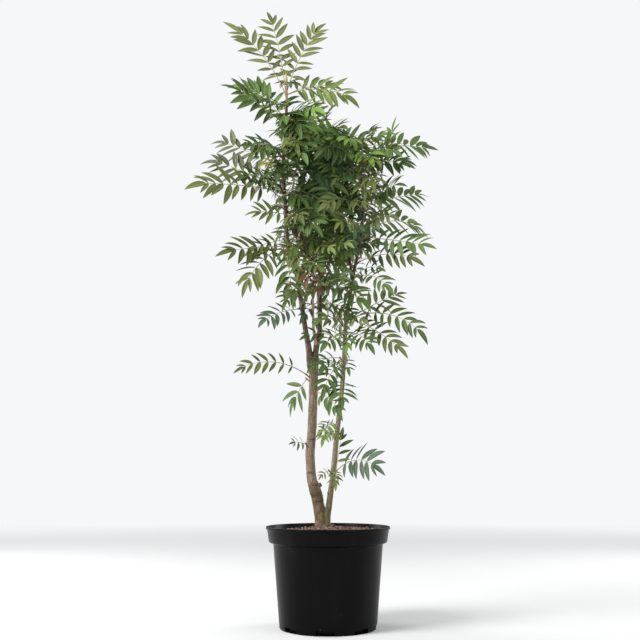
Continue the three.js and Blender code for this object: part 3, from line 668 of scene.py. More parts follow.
def limb_bark(name, step, sides, blend):
    """A limb's bark: rings round its centre line, raised by knots, waves and fillets.

    A fillet is h * h * blend / 4 high, with h falling from 1 on another limb's bark to 0 at `blend` from it.
    Gives points, faces and each point's darkness: knot scars, and painted shade in furrows and wrinkles.
    """
    foot, top = LIMBS[name][0][0], LIMBS[name][-1][0]
    heights = np.linspace(foot, top, int((top - foot) / step) + 1)
    around = bearings(sides) + math.pi / 2
    z, turn = np.meshgrid(heights, around, indexing="ij")
    x, y, radius = np.moveaxis(limb_at(name, z), -1, 0)
    if name == "trunk_main":
        shrink = np.clip((z - BARK["crotch"]) / (top - BARK["crotch"]), 0, 1)
        radius = radius * np.sqrt(1 - BARK["crotch_narrowing"] * shrink ** 2)
    else:
        close = np.clip((top - z) / (2 * radius), 0, 1)
        radius = radius * np.sqrt(1 - BARK["end_narrowing"] * (1 - close) ** 2)
    scar = np.zeros_like(z)
    for limb, height, extra, half, bearing, tilt in KNOTS:
        if limb != name:
            continue
        facing = np.cos(turn - math.radians(bearing))
        local = KNOT["all_round"] + KNOT["one_side"] * (0.5 + 0.5 * facing) ** 3
        ring = np.exp(-((z - height - tilt * facing) / half) ** 2)
        fold = np.exp(-((z - height - tilt * facing + half) / (KNOT["furrow_half"] * half)) ** 2)
        radius = radius + (KNOT["swell"] * ring - KNOT["furrow"] * fold) * extra * local
        # The furrow beneath a knot is darkened more than its swelling, as painted shade in the recess.
        dark = (KNOT["dark_swell"] * ring ** 2 + KNOT["dark_furrow"] * fold) * local
        scar = np.maximum(scar, np.clip(dark, 0, 1))
    if name == "trunk_main":
        local = (0.5 + 0.5 * np.cos(turn - math.radians(WRINKLES["bearing"]))) ** 1.5
        for height in WRINKLES["heights"]:
            level = z - height - WRINKLES["sway"] * np.sin(2 * turn)
            wrinkle = np.exp(-(level / WRINKLES["half"]) ** 2) * local
            radius = radius - WRINKLES["depth"] * wrinkle
            # The wrinkles' creases are darkened as painted shade.
            scar = np.maximum(scar, WRINKLES["dark"] * wrinkle)
    thickness = radius / BARK["full_relief_at"]
    seed = sum(ord(letter) for letter in name)
    radius = radius + BARK["coarse_relief"] * thickness * waves(turn, z, seed, longest=90, shortest=18)
    radius = radius + BARK["fine_relief"] * waves(turn, z, seed + 1, longest=14, shortest=6, count=20)
    points = np.stack([x + radius * np.cos(turn), y + radius * np.sin(turn), z], -1)
    out = np.stack([np.cos(turn), np.sin(turn), np.zeros_like(turn)], -1)
    for other in JOINED[name]:
        reach = blend if "trunk_main" in (name, other) else BARK["thin_fillet"] * blend
        near = np.clip(1 - np.abs(limb_distance(other, points)) / reach, 0, 1)
        points = points + out * (near ** 2 * reach / 4)[..., None]
    ends = [[*limb_at(name, foot)[:2], foot], [*limb_at(name, top)[:2], top + BARK["cap"]]]
    rings, total = len(heights), len(heights) * sides
    faces = [grid_faces(rings, sides), pole_faces(np.arange(sides), total, False),
             pole_faces(np.arange(sides) + total - sides, total + 1, True)]
    flat = np.concatenate([points.reshape(-1, 3), ends])
    return flat, faces, np.concatenate([scar.ravel(), [0, 0]])


# ---- Sprays ----

def lehmer(seed):
    """Park and Miller's generator, which gives the same numbers as in the solid model."""
    state = seed

    def draw():
        nonlocal state
        state = state * 48271 % 2147483647
        return state / 2147483647
    return draw


def direction(azimuth, rise):
    """The unit vector of an azimuth and a rise in degrees."""
    a, e = np.radians(azimuth), np.radians(rise)
    return np.stack([np.cos(e) * np.cos(a), np.cos(e) * np.sin(a), np.sin(e)], -1)


def fan_leaves(first, more, finer, draw):
    """Leaves to either side of a spray's first leaf; those past `more` are the finer ones."""
    leaves = []
    for k in range(more + finer):
        around = first[0] + FAN["offsets"][k] + FAN["spread"] * (2 * draw() - 1)
        rise = FAN["rise"] + FAN["rise_spread"] * (2 * draw() - 1)
        length = first[2] * (FAN["length"] + FAN["length_spread"] * (2 * draw() - 1))
        arch = FAN["arch"] + FAN["arch_spread"] * (2 * draw() - 1)
        leaves.append([around, rise, length * (1 if k < more else FINER["length"]), arch])
    return leaves


def row_sprays(rows):
    """The sprays of rows, evenly up their limbs, each turned on from the one below."""
    sprays = []
    for name, limb, low, high, count, first, length, more in rows:
        for k in range(count):
            at = low + (high - low) * k / max(count - 1, 1)
            leaf = [first + TURN_OF_ROW * k, RISE_OF_ROW, length, ARCH_OF_ROW]
            sprays.append([f"{name}_{k + 1}", limb, at, more, None, None, [leaf]])
    return sprays


def grow_sprays():
    """The two ends of every spray's spur, and every leaf.

    Leaves that a row or the fan rule adds are kept only in the dense part of the crown.
    """
    spurs, kept, seeded = [], [], []
    rows = SPRAYS + row_sprays(ROWS + FINER_ROWS)
    accents = [[name, limb, at, 0, None, tint, leaves] for name, limb, at, tint, leaves in ACCENTS]
    for index, (name, limb, at, more, own, tints, named) in enumerate(rows + accents):
        x, y, radius = limb_at(limb, at)
        rise, beyond = own or [SPUR_RISE, SPUR_LENGTH]
        length = beyond + (0 if own else radius / math.cos(math.radians(rise)))
        foot = np.array([x, y, at])
        tip = foot + direction(named[0][0], rise) * length
        spurs.append([foot, tip])
        draw = lehmer(SEED["first"] + SEED["step"] * index)
        finer = 0 if index >= len(rows) or name.startswith(PLAIN_SPRAYS) else FINER["count"]
        for k, leaf in enumerate(named + fan_leaves(named[0], more, finer, draw)):
            if tints:
                tint = (tints.split() + [tints.split()[-1]] * k)[k]
            else:
                tint = zone_tint(tip + direction(leaf[0], leaf[1]) * 0.5 * leaf[2], index + k)
            by_rule = k >= len(named) or name.startswith(ROW_NAMES)
            (seeded if by_rule else kept).append(Leaf(tip, *leaf, tint, name))
    return spurs, kept + inside_core(seeded)


def zone_tint(point, turn):
    """The tint whose turn it is for a leaf with its middle at a point."""
    band = [row for row in ZONE_TINTS if point[2] >= row[0]][-1]
    tints = band[1 + int(np.searchsorted(TINT_EDGES, point[0]))].split()
    return tints[turn % len(tints)]


def inside_core(leaves):
    """The leaves that keep between the furthest left and right of the dense part at their own height."""
    heights, left, right = np.array(CORE, float).T
    x, _, z = np.moveaxis(leaf_paths(leaves, CORE_CHECKS), -1, 0)
    free = (x >= np.interp(z, heights, left)) & (x <= np.interp(z, heights, right))
    return list(compress(leaves, free.all(axis=1)))


def leaf_curve(foot, azimuth, rise, length, arch, s):
    """A leaf's arc in the upright plane of its azimuth, at shares s: point, tangent, blade normal and side.

    The slope falls evenly by `arch` round `rise`, and the blade is turned about the arc towards the light.
    """
    bend, level = np.radians(arch), direction(azimuth, np.zeros_like(azimuth))
    across = direction(azimuth + 90, np.zeros_like(azimuth))
    middle = np.radians(rise)
    start = middle + bend / 2
    up = level * -np.sin(middle)[..., None] + UPWARD * np.cos(middle)[..., None]
    turn = LIGHT_TURN * np.arctan2(across @ LIGHT, np.maximum(up @ LIGHT, LIGHT_LEAST))
    angle = start - bend * s
    out = (np.sin(start) - np.sin(angle)) / bend * length
    high = (np.cos(angle) - np.cos(start)) / bend * length
    point = foot + level * out[..., None] + UPWARD * high[..., None]
    c, q = np.cos(angle)[..., None], np.sin(angle)[..., None]
    tangent = level * c + UPWARD * q
    upper = level * -q + UPWARD * c
    normal = upper * np.cos(turn)[..., None] + across * np.sin(turn)[..., None]
    return point, tangent, normal, np.cross(normal, tangent)


def columns(leaves):
    """The leaves' numbers as arrays: feet, azimuth, rise, length, arch."""
    return (np.array([leaf.foot for leaf in leaves]), *np.array([leaf[1:5] for leaf in leaves], float).T)


def leaf_paths(leaves, shares):
    """Points of every leaf's arc at the given shares of its length."""
    numbers = columns(leaves)
    return np.stack([leaf_curve(*numbers, np.full(len(leaves), share))[0] for share in shares], 1)


def clear_of_limbs(points, margin):
    """Whether all the points of a row keep `margin` from every limb."""
    return np.all([(limb_distance(name, points) > margin).all(axis=1) for name in LIMBS], axis=0)


def leaflet_template():
    """One leaflet: a grid of stations along and five columns across, with teeth and with a keel beneath.

    Gives for each vertex its share along, its share across, tooth and keel marks, then the faces of the upper
    side and of the underside, and the sharp edges.
    """
    stations, first_tooth = LEAFLET["stations"], LEAFLET["first_tooth"]
    rows = [(0.0, 0.0, 0, 0)]
    index = {}
    for k in range(1, stations):
        for j, q in enumerate((-1.0, -0.5, 0.0, 0.5, 1.0)):
            index[k, j] = len(rows)
            rows.append((k / stations, q, 0, 0))
    for j in range(5):
        index[0, j], index[stations, j] = 0, len(rows)
    rows.append((1.0, 0.0, 0, 0))
    for k in range(first_tooth, stations):
        for j, q in ((0, -1.0), (4, 1.0)):
            index["teeth", k, j] = [len(rows) + i for i in range(3)]
            rows += [((k + part) / stations, q, mark, 0) for part, mark in LEAFLET["tooth_marks"]]
    for k in range(1, stations):
        index["keel", k] = len(rows)
        rows.append((k / stations, 0.0, 0, 1))
    index["keel", 0], index["keel", stations] = 0, index[stations, 0]
    upper, lower, sharp = [], [], []
    for k in range(stations):
        for j in range(4):
            face = [index[k, j], index[k + 1, j], index[k + 1, j + 1], index[k, j + 1]]
            if k >= first_tooth and j == 0:
                face[1:1] = index["teeth", k, 0]
            if k >= first_tooth and j == 3:
                face[3:3] = index["teeth", k, 4][::-1]
            upper.append([v for i, v in enumerate(face) if v != face[i - 1]][::-1])
        for j in (0, 4):
            outline = [index[k, j], *(index["teeth", k, j] if k >= first_tooth else []), index[k + 1, j]]
            sharp += [(a, b) for a, b in zip(outline[:-1], outline[1:])]
            face = outline + [index["keel", k + 1], index["keel", k]]
            face = [v for i, v in enumerate(face) if v != face[i - 1]]
            lower.append(face if j == 0 else face[::-1])
        sharp += [(index[k, 2], index[k + 1, 2]), (index["keel", k], index["keel", k + 1])]
    return np.array(rows), upper, lower, np.array(sharp)


def place_leaflets(leaves, seed):
    """Where each leaf's leaflets stand, in pairs from the bare stalk to the tip and one at the end.

    Gives rows of leaf number, share, hand, size and angle, and six seeded numbers for each.
    """
    draw = np.random.default_rng(seed)
    rows = []
    for i, leaf in enumerate(leaves):
        length = leaf.length
        pairs = round(length / LEAFLET["pair_distance"])
        pairs = int(np.clip(pairs, LEAFLET["fewest_pairs"], LEAFLET["most_pairs"]))
        size = min(LEAFLET["base_length"] + LEAFLET["length_share"] * length, LEAFLET["longest"])
        size *= LEAFLET_SCALE.get(leaf.spray) or LEAFLET_SCALE.get(leaf.spray.rstrip("_0123456789"), 1)
        end = 1 - LEAFLET["end_share"] * size / length
        for step in np.linspace(0, 1, pairs) ** LEAFLET["crowding"]:
            share = STALK_SHARE + (end - LEAFLET["end_gap"] - STALK_SHARE) * step
            fullness = np.interp(step, LEAFLET["steps"], LEAFLET["fullness"])
            angle = LEAFLET["angle"] - LEAFLET["angle_fall"] * step ** LEAFLET["angle_power"]
            for hand in (-1, 1):
                rows.append([i, share, hand, size * fullness, angle])
        rows.append([i, end, 0, size, 0])
    table = np.array(rows)
    noise = draw.normal(size=(len(table), 6))
    return table, noise


def grow_leaflets(leaves, seed):
    """Points, tones and owners of every leaflet that is clear of the limbs.

    Its midrib bends in a circle from its axis towards gravity and the leaf's back, its blade is folded up
    from the midrib, and its half width is width * t^a * (1 - t)^b with teeth on the upper part.
    """
    table, noise = place_leaflets(leaves, seed)
    owner, share, hand, size, spread = table[:, 0].astype(int), *table[:, 1:].T
    numbers = [column[owner] for column in columns(leaves)]
    point, tangent, normal, side = leaf_curve(*numbers, share)
    size = size * (1 + POSE["size_spread"] * noise[:, 0])
    spread = np.radians(spread + POSE["angle_spread"] * noise[:, 1])
    lift = POSE["lift"] + POSE["lift_spread"] * noise[:, 2]
    sideward = side * (hand * np.sin(spread))[:, None]
    axis = tangent * np.cos(spread)[:, None] + sideward + normal * lift[:, None]
    axis = unit(np.where((hand == 0)[:, None], tangent + POSE["end_lift"] * normal * noise[:, 2:3], axis))
    roll = POSE["roll"] * noise[:, 3]
    facing = normal + POSE["skyward"] * UPWARD
    flat = unit(facing - axis * (facing * axis).sum(-1, keepdims=True))
    wide = np.cross(flat, axis)
    flat = flat * np.cos(roll)[:, None] + wide * np.sin(roll)[:, None]
    pull = -POSE["downward"] * UPWARD - POSE["backward"] * normal - POSE["inward"] * side * hand[:, None]
    pull = pull - axis * (pull * axis).sum(-1, keepdims=True)
    strength = np.clip(np.linalg.norm(pull, axis=-1), 0, POSE["most_pull"])
    droop = (POSE["droop"] + POSE["droop_spread"] * noise[:, 4]) * strength
    pull = unit(pull)
    spine = np.cross(axis, pull)

    rows, upper, lower, sharp = leaflet_template()
    t, q, tooth, keel = rows.T
    bend = droop[:, None] * t
    safe = np.maximum(droop, POSE["least_droop"])[:, None]
    run, drop = np.sin(safe * t) / safe, (1 - np.cos(safe * t)) / safe
    cos, sin = np.cos(bend)[..., None], np.sin(bend)[..., None]
    here = axis[:, None] * cos + pull[:, None] * sin
    around = (spine * (spine * flat).sum(-1, keepdims=True))[:, None]
    up = flat[:, None] * cos + np.cross(spine, flat)[:, None] * sin + around * (1 - cos)
    sideways = np.cross(up, here)
    a, b = LEAFLET["widest_power"], LEAFLET["tip_power"]
    peak = (a / (a + b)) ** a * (b / (a + b)) ** b
    form = t ** a * (1 - t) ** b / peak
    half = size[:, None] * LEAFLET["width"] * (1 + POSE["width_spread"] * noise[:, 5:6]) / 2
    out = q * (half * form + tooth * LEAFLET["tooth"] * size[:, None] * (1 - LEAFLET["tooth_taper"] * t))
    folded = LEAFLET["fold"] * np.abs(out) * (1 - LEAFLET["fold_fall"] * np.abs(q)) * LEAFLET["fold_gain"]
    height = folded - keel * LEAFLET["keel"] * size[:, None] * (1 - t)
    bent = axis[:, None] * run[..., None] + pull[:, None] * drop[..., None]
    spot = point[:, None] + size[:, None, None] * bent
    spot = spot + sideways * out[..., None] + up * height[..., None]

    free = clear_of_limbs(spot[:, ::3], LIMB_MARGIN["leaflet"])
    uv = np.stack([(q + 1) / 2, t], -1)
    tone_of_leaf = np.random.default_rng(seed + 1).normal(size=len(leaves))
    tone = noise[:, 0] * POSE["tone_spread"] + tone_of_leaf[owner] * POSE["leaf_tone_spread"]
    return {
        "owner": owner[free], "spot": spot[free], "tone": tone[free], "uv": uv, "sides": (upper, lower),
        "sharp": sharp,
    }


def join_leaflets(grown, chosen):
    """The chosen leaflets as one mesh: points, faces by size, uv, tones, sharp edges and material numbers."""
    spot, tone = grown["spot"][chosen], grown["tone"][chosen]
    count, size, _ = spot.shape
    starts = np.arange(count)[:, None, None] * size
    polygons, finish = [], []
    for number, faces in enumerate(grown["sides"]):
        for corners in sorted({len(face) for face in faces}):
            rows = np.array([face for face in faces if len(face) == corners])
            polygons.append((rows[None] + starts).reshape(-1, corners))
            finish.append(np.full(len(polygons[-1]), number))
    sharp = (grown["sharp"][None] + starts).reshape(-1, 2)
    return {
        "points": spot.reshape(-1, 3), "polygons": polygons, "uv": np.tile(grown["uv"], (count, 1)),
        "values": {"tone": np.repeat(tone, size)}, "sharp": sharp, "finish": np.concatenate(finish),
    }


# ---- Materials ----

def pot_finish(look):
    """Black moulded plastic: faint orange peel, rubbed dusty streaks down the wall and a few pale specks."""
    shader = Shader("pot_plastic")
    place = shader.place()
    dust = shader.band(shader.noise(shader.scaled(place, (9, 9, 2.2)), 1.6, 5), 0.52, 0.78)
    scuff = shader.band(shader.noise(shader.scaled(place, (60, 60, 9)), 1.0, 4), 0.62, 0.80)
    speck = shader.band(shader.cells(place, 34), 0.02, 0.055, 1.0, 0.0)
    colour = shader.mix(dust * 0.5, look.colour, look.dust_colour)
    colour = shader.mix(scuff * 0.25, colour, look.dust_colour)
    colour = shader.mix(speck * 0.3, colour, paint("6b6f6c"))
    roughness = 0.34 + dust * 0.16 + scuff * 0.12
    peel = shader.noise(place, 900, 2) + shader.noise(place, 60, 2) * 1.5
    return shader.finish(colour, roughness, 0.09, peel, 0.12, 0.0006)


def soil_finish(look):
    """Bark compost: crumbs of several browns with pale fibres, rough and uneven."""
    shader = Shader("soil")
    place = shader.place()
    tone = shader.attribute("tone")
    grain = shader.noise(place, 240, 5, 0.65)
    colour = shader.mix(shader.band(tone, 0, 1), look.dark, look.light)
    colour = shader.mix(shader.band(grain, 0.35, 0.7) * 0.6, colour, look.middle)
    colour = shader.mix(shader.band(shader.noise(place, 95, 4), 0.62, 0.72) * 0.5, colour, look.pale)
    return shader.finish(colour, 0.92, 0.2, grain, 0.7, 0.0012)


def bark_finish(name, low, high, streak, foot):
    """Young bark: upright streaks of two widths, pale breathing pores, darker scars, painted shade in creases
    and a mottled foot.
    """
    shader = Shader(name)
    place = shader.place()
    age = shader.attribute("age")
    scar = shader.attribute("scar")
    streaks = shader.noise(shader.scaled(place, (420, 420, 40)), 1.0, 4, 0.62)
    broad = shader.noise(shader.scaled(place, (120, 120, 7)), 1.0, 3)
    patches = shader.noise(shader.scaled(place, (46, 46, 30)), 1.0, 4)
    pores = shader.band(shader.cells(shader.scaled(place, (230, 230, 760)), 1.0), 0.10, 0.24, 1.0, 0.0)
    colour = shader.mix(shader.band(age, 0, 1), high, low)
    colour = shader.mix(shader.band(broad, 0.40, 0.66) * 0.7, colour, streak)
    colour = shader.mix(shader.band(streaks, 0.44, 0.70) * 0.5, colour, paint("75685b"), "MULTIPLY")
    colour = shader.mix(shader.band(streaks, 0.30, 0.46, 0.6, 0.0), colour, paint("bda996"))
    colour = shader.mix(shader.attribute("foot") * shader.band(patches, 0.36, 0.56, 0.25, 1.0), colour, foot)
    stain = shader.attribute("foot") * shader.band(patches, 0.54, 0.66) * 0.6
    colour = shader.mix(stain, colour, paint("8f7c44"))
    colour = shader.mix(pores * 0.4, colour, paint("b8a78e"))
    # Dark scars on the knots, and painted shade in their furrows and in the wrinkles.
    colour = shader.mix(scar * 0.85, colour, paint("36281d"))
    relief = streaks * 0.8 + pores * 0.8 + shader.noise(place, 700, 3) * 0.5
    return shader.finish(colour, 0.68 + streaks * 0.2, 0.3, relief, 0.7, 0.0014)


def leaf_finish(name, colour, gloss, vein_strength):
    """A leaflet's face: pale midrib, side veins that slant to the tip, mottling and the leaflet's tone."""
    shader = Shader(name)
    split = shader.add("SeparateXYZ", sockets={0: shader.add("UVMap", {"uv_map": "UVMap"})})
    along = Signal(shader, split.socket.node.outputs[1])
    across = shader.add("Math", {"operation": "ABSOLUTE"}, {0: split * 2 - 1})
    midrib = shader.band(across, 0.03, 0.13, 1.0, 0.0)
    ridge = shader.add("Math", {"operation": "PINGPONG"}, {0: along * 11 - across * 1.7, 1: 0.5})
    veins = shader.band(ridge, 0.0, 0.11, 1.0, 0.0)
    tone = shader.attribute("tone")
    mottle = shader.noise(shader.place(), 130, 3)
    paler = tuple(0.45 * c + 0.55 * p for c, p in zip(colour, paint("b9c48c")))
    darker = tuple(0.62 * c for c in colour)
    lighter = tuple(min(1.35 * c + 0.01, 1) for c in colour)
    shade = shader.mix(shader.band(tone + (mottle - 0.5) * 1.6, -1.6, 1.6), darker, lighter)
    shade = shader.mix(veins * 0.16 * vein_strength, shade, paler)
    shade = shader.mix(midrib * 0.42 * vein_strength, shade, paler)
    relief = veins * -0.5 - midrib * 0.6 + mottle * 0.25
    return shader.finish(shade, gloss + mottle * 0.12, 0.3, relief, 0.35 * vein_strength, 0.0006)


def stalk_finish(name, colour, tip):
    """Leaf stalks and young twigs: one soft colour that fades along each of them."""
    shader = Shader(name)
    mottle = shader.noise(shader.scaled(shader.place(), (300, 300, 60)), 1.0, 3)
    fade = shader.attribute("fade")
    shade = shader.mix(shader.band(fade, 0, 1), colour, tip)
    shade = shader.mix(shader.band(mottle, 0.4, 0.7) * 0.3, shade, paint("5f5a3c"))
    return shader.finish(shade, 0.5 + mottle * 0.15, 0.35, mottle, 0.25, 0.0006)


# ---- Settings ----

def number_field(name, description, default, low=0, kind=bpy.props.FloatProperty, **more):
    """A number's setting, with further arguments for its kind."""
    return kind(name=name, description=description, default=default, min=low, **more)


def length_field(name, description, default, low=0.0001, high=2.0):
    return number_field(name, description, default, low, max=high, subtype="DISTANCE", unit="LENGTH",
                        precision=4)


def colour_field(name, description, code):
    return bpy.props.FloatVectorProperty(name=name, description=description, default=paint(code), size=3,
                                         min=0, max=1, subtype="COLOR")


class RowanPotLook(bpy.types.PropertyGroup):
    """Size and colours of the nursery pot."""
    rim_radius: length_field("Rim radius", "Outer radius of the pot's rim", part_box("pot")[1].x)
    height: length_field("Height", "Height of the pot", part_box("pot")[1].z)
    colour: colour_field("Plastic", "Colour of the plastic", "040404")
    dust_colour: colour_field("Dust", "Colour of the dust that it carries", "121313")


class RowanSoilLook(bpy.types.PropertyGroup):
    """Crumbs and colours of the compost."""
    chips: number_field("Chips", "How many bark chips lie on the compost", 1900,
                        kind=bpy.props.IntProperty, max=4000)
    chip_size: length_field("Chip size", "Mean length of a bark chip", 0.0062)
    dark: colour_field("Dark", "The darkest crumbs", "3d2a20")
    middle: colour_field("Middle", "The commonest crumbs", "7a5a47")
    light: colour_field("Light", "The lightest chips", "9a8478")
    pale: colour_field("Pale", "Fibres and stones", "c4a690")


class RowanBarkLook(bpy.types.PropertyGroup):
    """Relief and colours of the trunk and boughs."""
    ring_step: length_field("Ring step", "Distance between two rings of the bark mesh", 0.003, 0.001, 0.02)
    fillet: length_field("Fillet", "How far a joint between two limbs is rounded", 0.009)
    old: colour_field("Old bark", "Bark of the trunk", "7f6d5c")
    olive: colour_field("Olive bark", "Bark of the right stem", "7a735b")
    shaded: colour_field("Shaded bark", "Bark of the leaders low in the crown", "4a3c31")
    young: colour_field("Young bark", "Bark near the tips", "936a4a")
    shoot: colour_field("Shoot's bark", "Bark of the thin shoot between the leaders", "a8968a")


class RowanLeafLook(bpy.types.PropertyGroup):
    """Leaves and their stalks."""
    seed: number_field("Seed", "Seed of the leaflets' small differences", 7, kind=bpy.props.IntProperty)
    gloss: number_field("Roughness", "Roughness of the upper side", 0.46, max=1, subtype="FACTOR")
    stalk_radius: length_field("Stalk radius", "Radius of the longest leaf's stalk at its foot", 0.0016)
    stalk: colour_field("Stalk", "Colour of a stalk at its foot", "9a8a62")
    stalk_tip: colour_field("Stalk tip", "Colour of a stalk at its tip", "8fa05c")


class RowanStageLook(bpy.types.PropertyGroup):
    """Floor, light and camera."""
    floor_colour: colour_field("Floor", "Colour of the floor", "dadada")
    ambient: number_field("Ambient", "Brightness of the light from all round", 0.48)
    key: number_field("Key", "Power of the main lamp", 200, unit="POWER")
    edge: number_field("Edge", "Power of each lamp behind the plant", 40, unit="POWER")
    lens: number_field("Lens", "Focal length", 50, 1, subtype="DISTANCE_CAMERA")


# ---- Pieces ----

class ROWAN_OT_pot(bpy.types.Operator):
    """Turn the pot with its rolled lip, band, tapering wall and drain slots"""
    bl_idname = "rowan.pot"
    bl_label = "Pot"

    def execute(self, context):
        look = context.scene.rowan_pot
        height, rim = look.height / MM, look.rim_radius / MM
        foot = height - POT["band_depth"]
        below = foot - POT["step_height"]
        lip = height - POT["lip_height"]
        base, edge, wall = POT["base_radius"], POT["base_edge"], POT["wall"]
        body, step, top = POT["body_top_radius"], POT["step_radius"], SLOT["top"]
        slope = (body - base) / (below - edge)
        rows = [
            [0, 0, 0], [base - edge, 0, 2], [base - 1, edge * 0.3, 1], [base, edge, 1],
            [base + slope * (top - edge), top, 0], [base + slope * (top - edge) + 0.01, top + 0.05, 0],
            [body - slope * 60, below - 60, 0], [body, below, 2.5], [step, foot, 1.8],
            [step + 1.2, foot + 3, 1.0], [rim - 3.4, lip - 4, 3], [rim - POT["lip_step"] - 0.4, lip - 1, 0.8],
            [rim, lip, 0.9], [rim, height, 1.4], [rim - 2 * wall, height, 1.4], [step - wall, foot, 3],
            [body - wall, below, 3], [base - wall, POT["floor"], 2], [0, POT["floor"], 0],
        ]
        half, side = math.asin(SLOT["half_width"] / base), 0.012
        spread = [-half - side, -half, -half / 2, 0, half / 2, half, half + side]
        sector = 2 * math.pi / SLOT["count"]
        between = np.linspace(half + side, sector - half - side, 13)[1:-1]
        first = math.radians(SLOT["turn"]) - math.pi / 2
        angles = [np.concatenate([spread, between]) + k * sector + first for k in range(SLOT["count"])]
        points, faces = turned(rounded(rows), np.concatenate(angles))
        radius = np.hypot(points[:, 0], points[:, 1])
        turn = (np.arctan2(points[:, 1], points[:, 0]) - first + sector / 2) % sector - sector / 2
        skin = radius > max(SLOT["back_radius"], base - wall + 0.1)
        inset = (np.abs(turn) < half + 0.001) & (points[:, 2] <= top + 0.01) & skin
        scale = np.where(inset, SLOT["back_radius"] / np.maximum(radius, 1), 1)
        points[:, :2] *= scale[:, None]
        piece = put_mesh("nursery_pot", points, faces, [pot_finish(look)])
        piece.modifiers.new("edges", "EDGE_SPLIT").split_angle = math.radians(POT["sharp_angle"])
        settle(piece, "pot_plastic", "pot")
        return {"FINISHED"}


class ROWAN_OT_soil(bpy.types.Operator):
    """Fill the pot with bark compost heaped round the stems"""
    bl_idname = "rowan.soil"
    bl_label = "Compost"

    def ground(self, x, y):
        """Height of the compost: even slopes from mound to edge, a rise round the stems, lean and lumps."""
        radius = np.hypot(x, y)
        stations = [0, SOIL["mound_radius"], SOIL["slope_radius"], SOIL["edge_radius"]]
        mound = SOIL["mound_height"]
        levels = [mound + SOIL["crest"], mound, SOIL["slope_height"], SOIL["edge_height"]]
        stem = np.hypot(x - SOIL["stem_x"], y) / SOIL["stem_reach"]
        lumps = waves(np.arctan2(y, x), radius, 5, longest=40, shortest=9, count=18)
        fade = np.clip((SOIL["flat_from"] - radius) / SOIL["fade"], 0, 1)
        lean = np.clip(x / SOIL["flat_from"], -1, 1)
        rise = SOIL["stem_rise"] * np.exp(-stem ** 2) + SOIL["lump"] * lumps + SOIL["lean"] * lean
        return np.interp(radius, stations, levels) + rise * fade

    def execute(self, context):
        look = context.scene.rowan_soil
        inside = POT["wall"] + 2 * GAP
        foot = POT["height"] - POT["band_depth"]
        below = foot - POT["step_height"]
        rise = (SOIL["edge_height"] - foot) / POT["band_depth"]
        edge = POT["step_radius"] + (POT["rim_radius"] - POT["wall"] - POT["step_radius"]) * rise - inside
        clearance, floor, sides = SOIL["clearance"], POT["floor"] + GAP, SOIL["sides"]
        hidden = SLOT["back_radius"] - clearance
        wall = [
            [hidden, floor], [hidden, SLOT["top"] + clearance],
            [POT["base_radius"] - inside, SLOT["top"] + 2 * clearance],
            [POT["body_top_radius"] - inside, below + GAP], [POT["step_radius"] - inside, foot + GAP],
        ]
        rings = [[r, SOIL["edge_height"]] for r in np.linspace(edge, SOIL["inner_ring"], SOIL["rings"])]
        profile = np.array([[0, floor], *wall, *rings, [0, SOIL["mound_height"]]])
        points, faces = turned(profile, bearings(sides))
        top = np.arange(len(wall) * sides, (len(wall) + len(rings)) * sides)
        points[top, 2] = self.ground(points[top, 0], points[top, 1])
        points[-1, 2] = self.ground(np.zeros(1), np.zeros(1))[0]
        tone = np.random.default_rng(3).uniform(0.1, 0.6, len(points))
        finish = soil_finish(look)
        settle(put_mesh("compost", points, faces, [finish], values={"tone": tone}), "soil", "soil")
        points, faces, tone = self.chips(look, edge)
        piece = put_mesh("bark_chips", points, faces, [finish], values={"tone": tone})
        piece.data.polygons.foreach_set("use_smooth", np.zeros(len(piece.data.polygons), bool))
        settle(piece, "soil")
        return {"FINISHED"}

    def chips(self, look, edge):
        """Chips as icosahedra with pushed corners, stretched, turned and half sunk in the compost."""
        draw = np.random.default_rng(11)
        count, corners, pushed = look.chips, CHIP["corners"], CHIP["most_pushed"]
        golden = (1 + math.sqrt(5)) / 2
        oblong = [[-1, golden, 0], [1, golden, 0], [-1, -golden, 0], [1, -golden, 0]]
        ball = unit(np.concatenate([np.roll(oblong, k, axis=1) for k in range(3)]))
        skin = np.array([
            [0, 11, 5], [0, 5, 1], [0, 1, 7], [0, 7, 10], [0, 10, 11], [1, 5, 9], [5, 11, 4], [11, 10, 2],
            [10, 7, 6], [7, 1, 8], [3, 9, 4], [3, 4, 2], [3, 2, 6], [3, 6, 8], [3, 8, 9], [4, 9, 5],
            [2, 4, 11], [6, 2, 10], [8, 6, 7], [9, 8, 1],
        ])
        push = draw.normal(size=(count, corners, 1)).clip(-pushed, pushed)
        shape = ball[None] * (1 + CHIP["pushed"] * push)
        size = np.exp(CHIP["size_spread"] * draw.normal(size=count)).clip(CHIP["smallest"], CHIP["largest"])
        size = look.chip_size / MM * size
        wide, thick = draw.uniform(*CHIP["width"], count), draw.uniform(*CHIP["thickness"], count)
        shape = shape * (size[:, None] * np.stack([np.ones(count), wide, thick], -1) / 2)[:, None]
        turn, tip = draw.uniform(0, 2 * math.pi, count), draw.normal(0, CHIP["tip"], (2, count))
        c, s = np.cos(turn), np.sin(turn)
        x, y, z = np.moveaxis(shape, -1, 0)
        z = z + x * tip[0][:, None] + y * tip[1][:, None]
        x, y = x * c[:, None] - y * s[:, None], x * s[:, None] + y * c[:, None]
        near = draw.random(count) < CHIP["near_share"]
        beside = CHIP["near_from"] + CHIP["near_reach"] * draw.random(count)
        radius = np.where(near, beside, (edge - CHIP["edge_gap"]) * np.sqrt(draw.random(count)))
        bearing = draw.uniform(0, 2 * math.pi, count)
        cx, cy = radius * np.cos(bearing) + SOIL["stem_x"] * near, radius * np.sin(bearing)
        level = self.ground(cx, cy) + CHIP["height"] * size
        shape = np.stack([x + cx[:, None], y + cy[:, None], z + level[:, None]], -1)
        faces = (skin[None] + corners * np.arange(count)[:, None, None]).reshape(-1, 3)
        tone = np.repeat(draw.random(count) ** CHIP["tone_power"], corners)
        return shape.reshape(-1, 3), [faces], tone


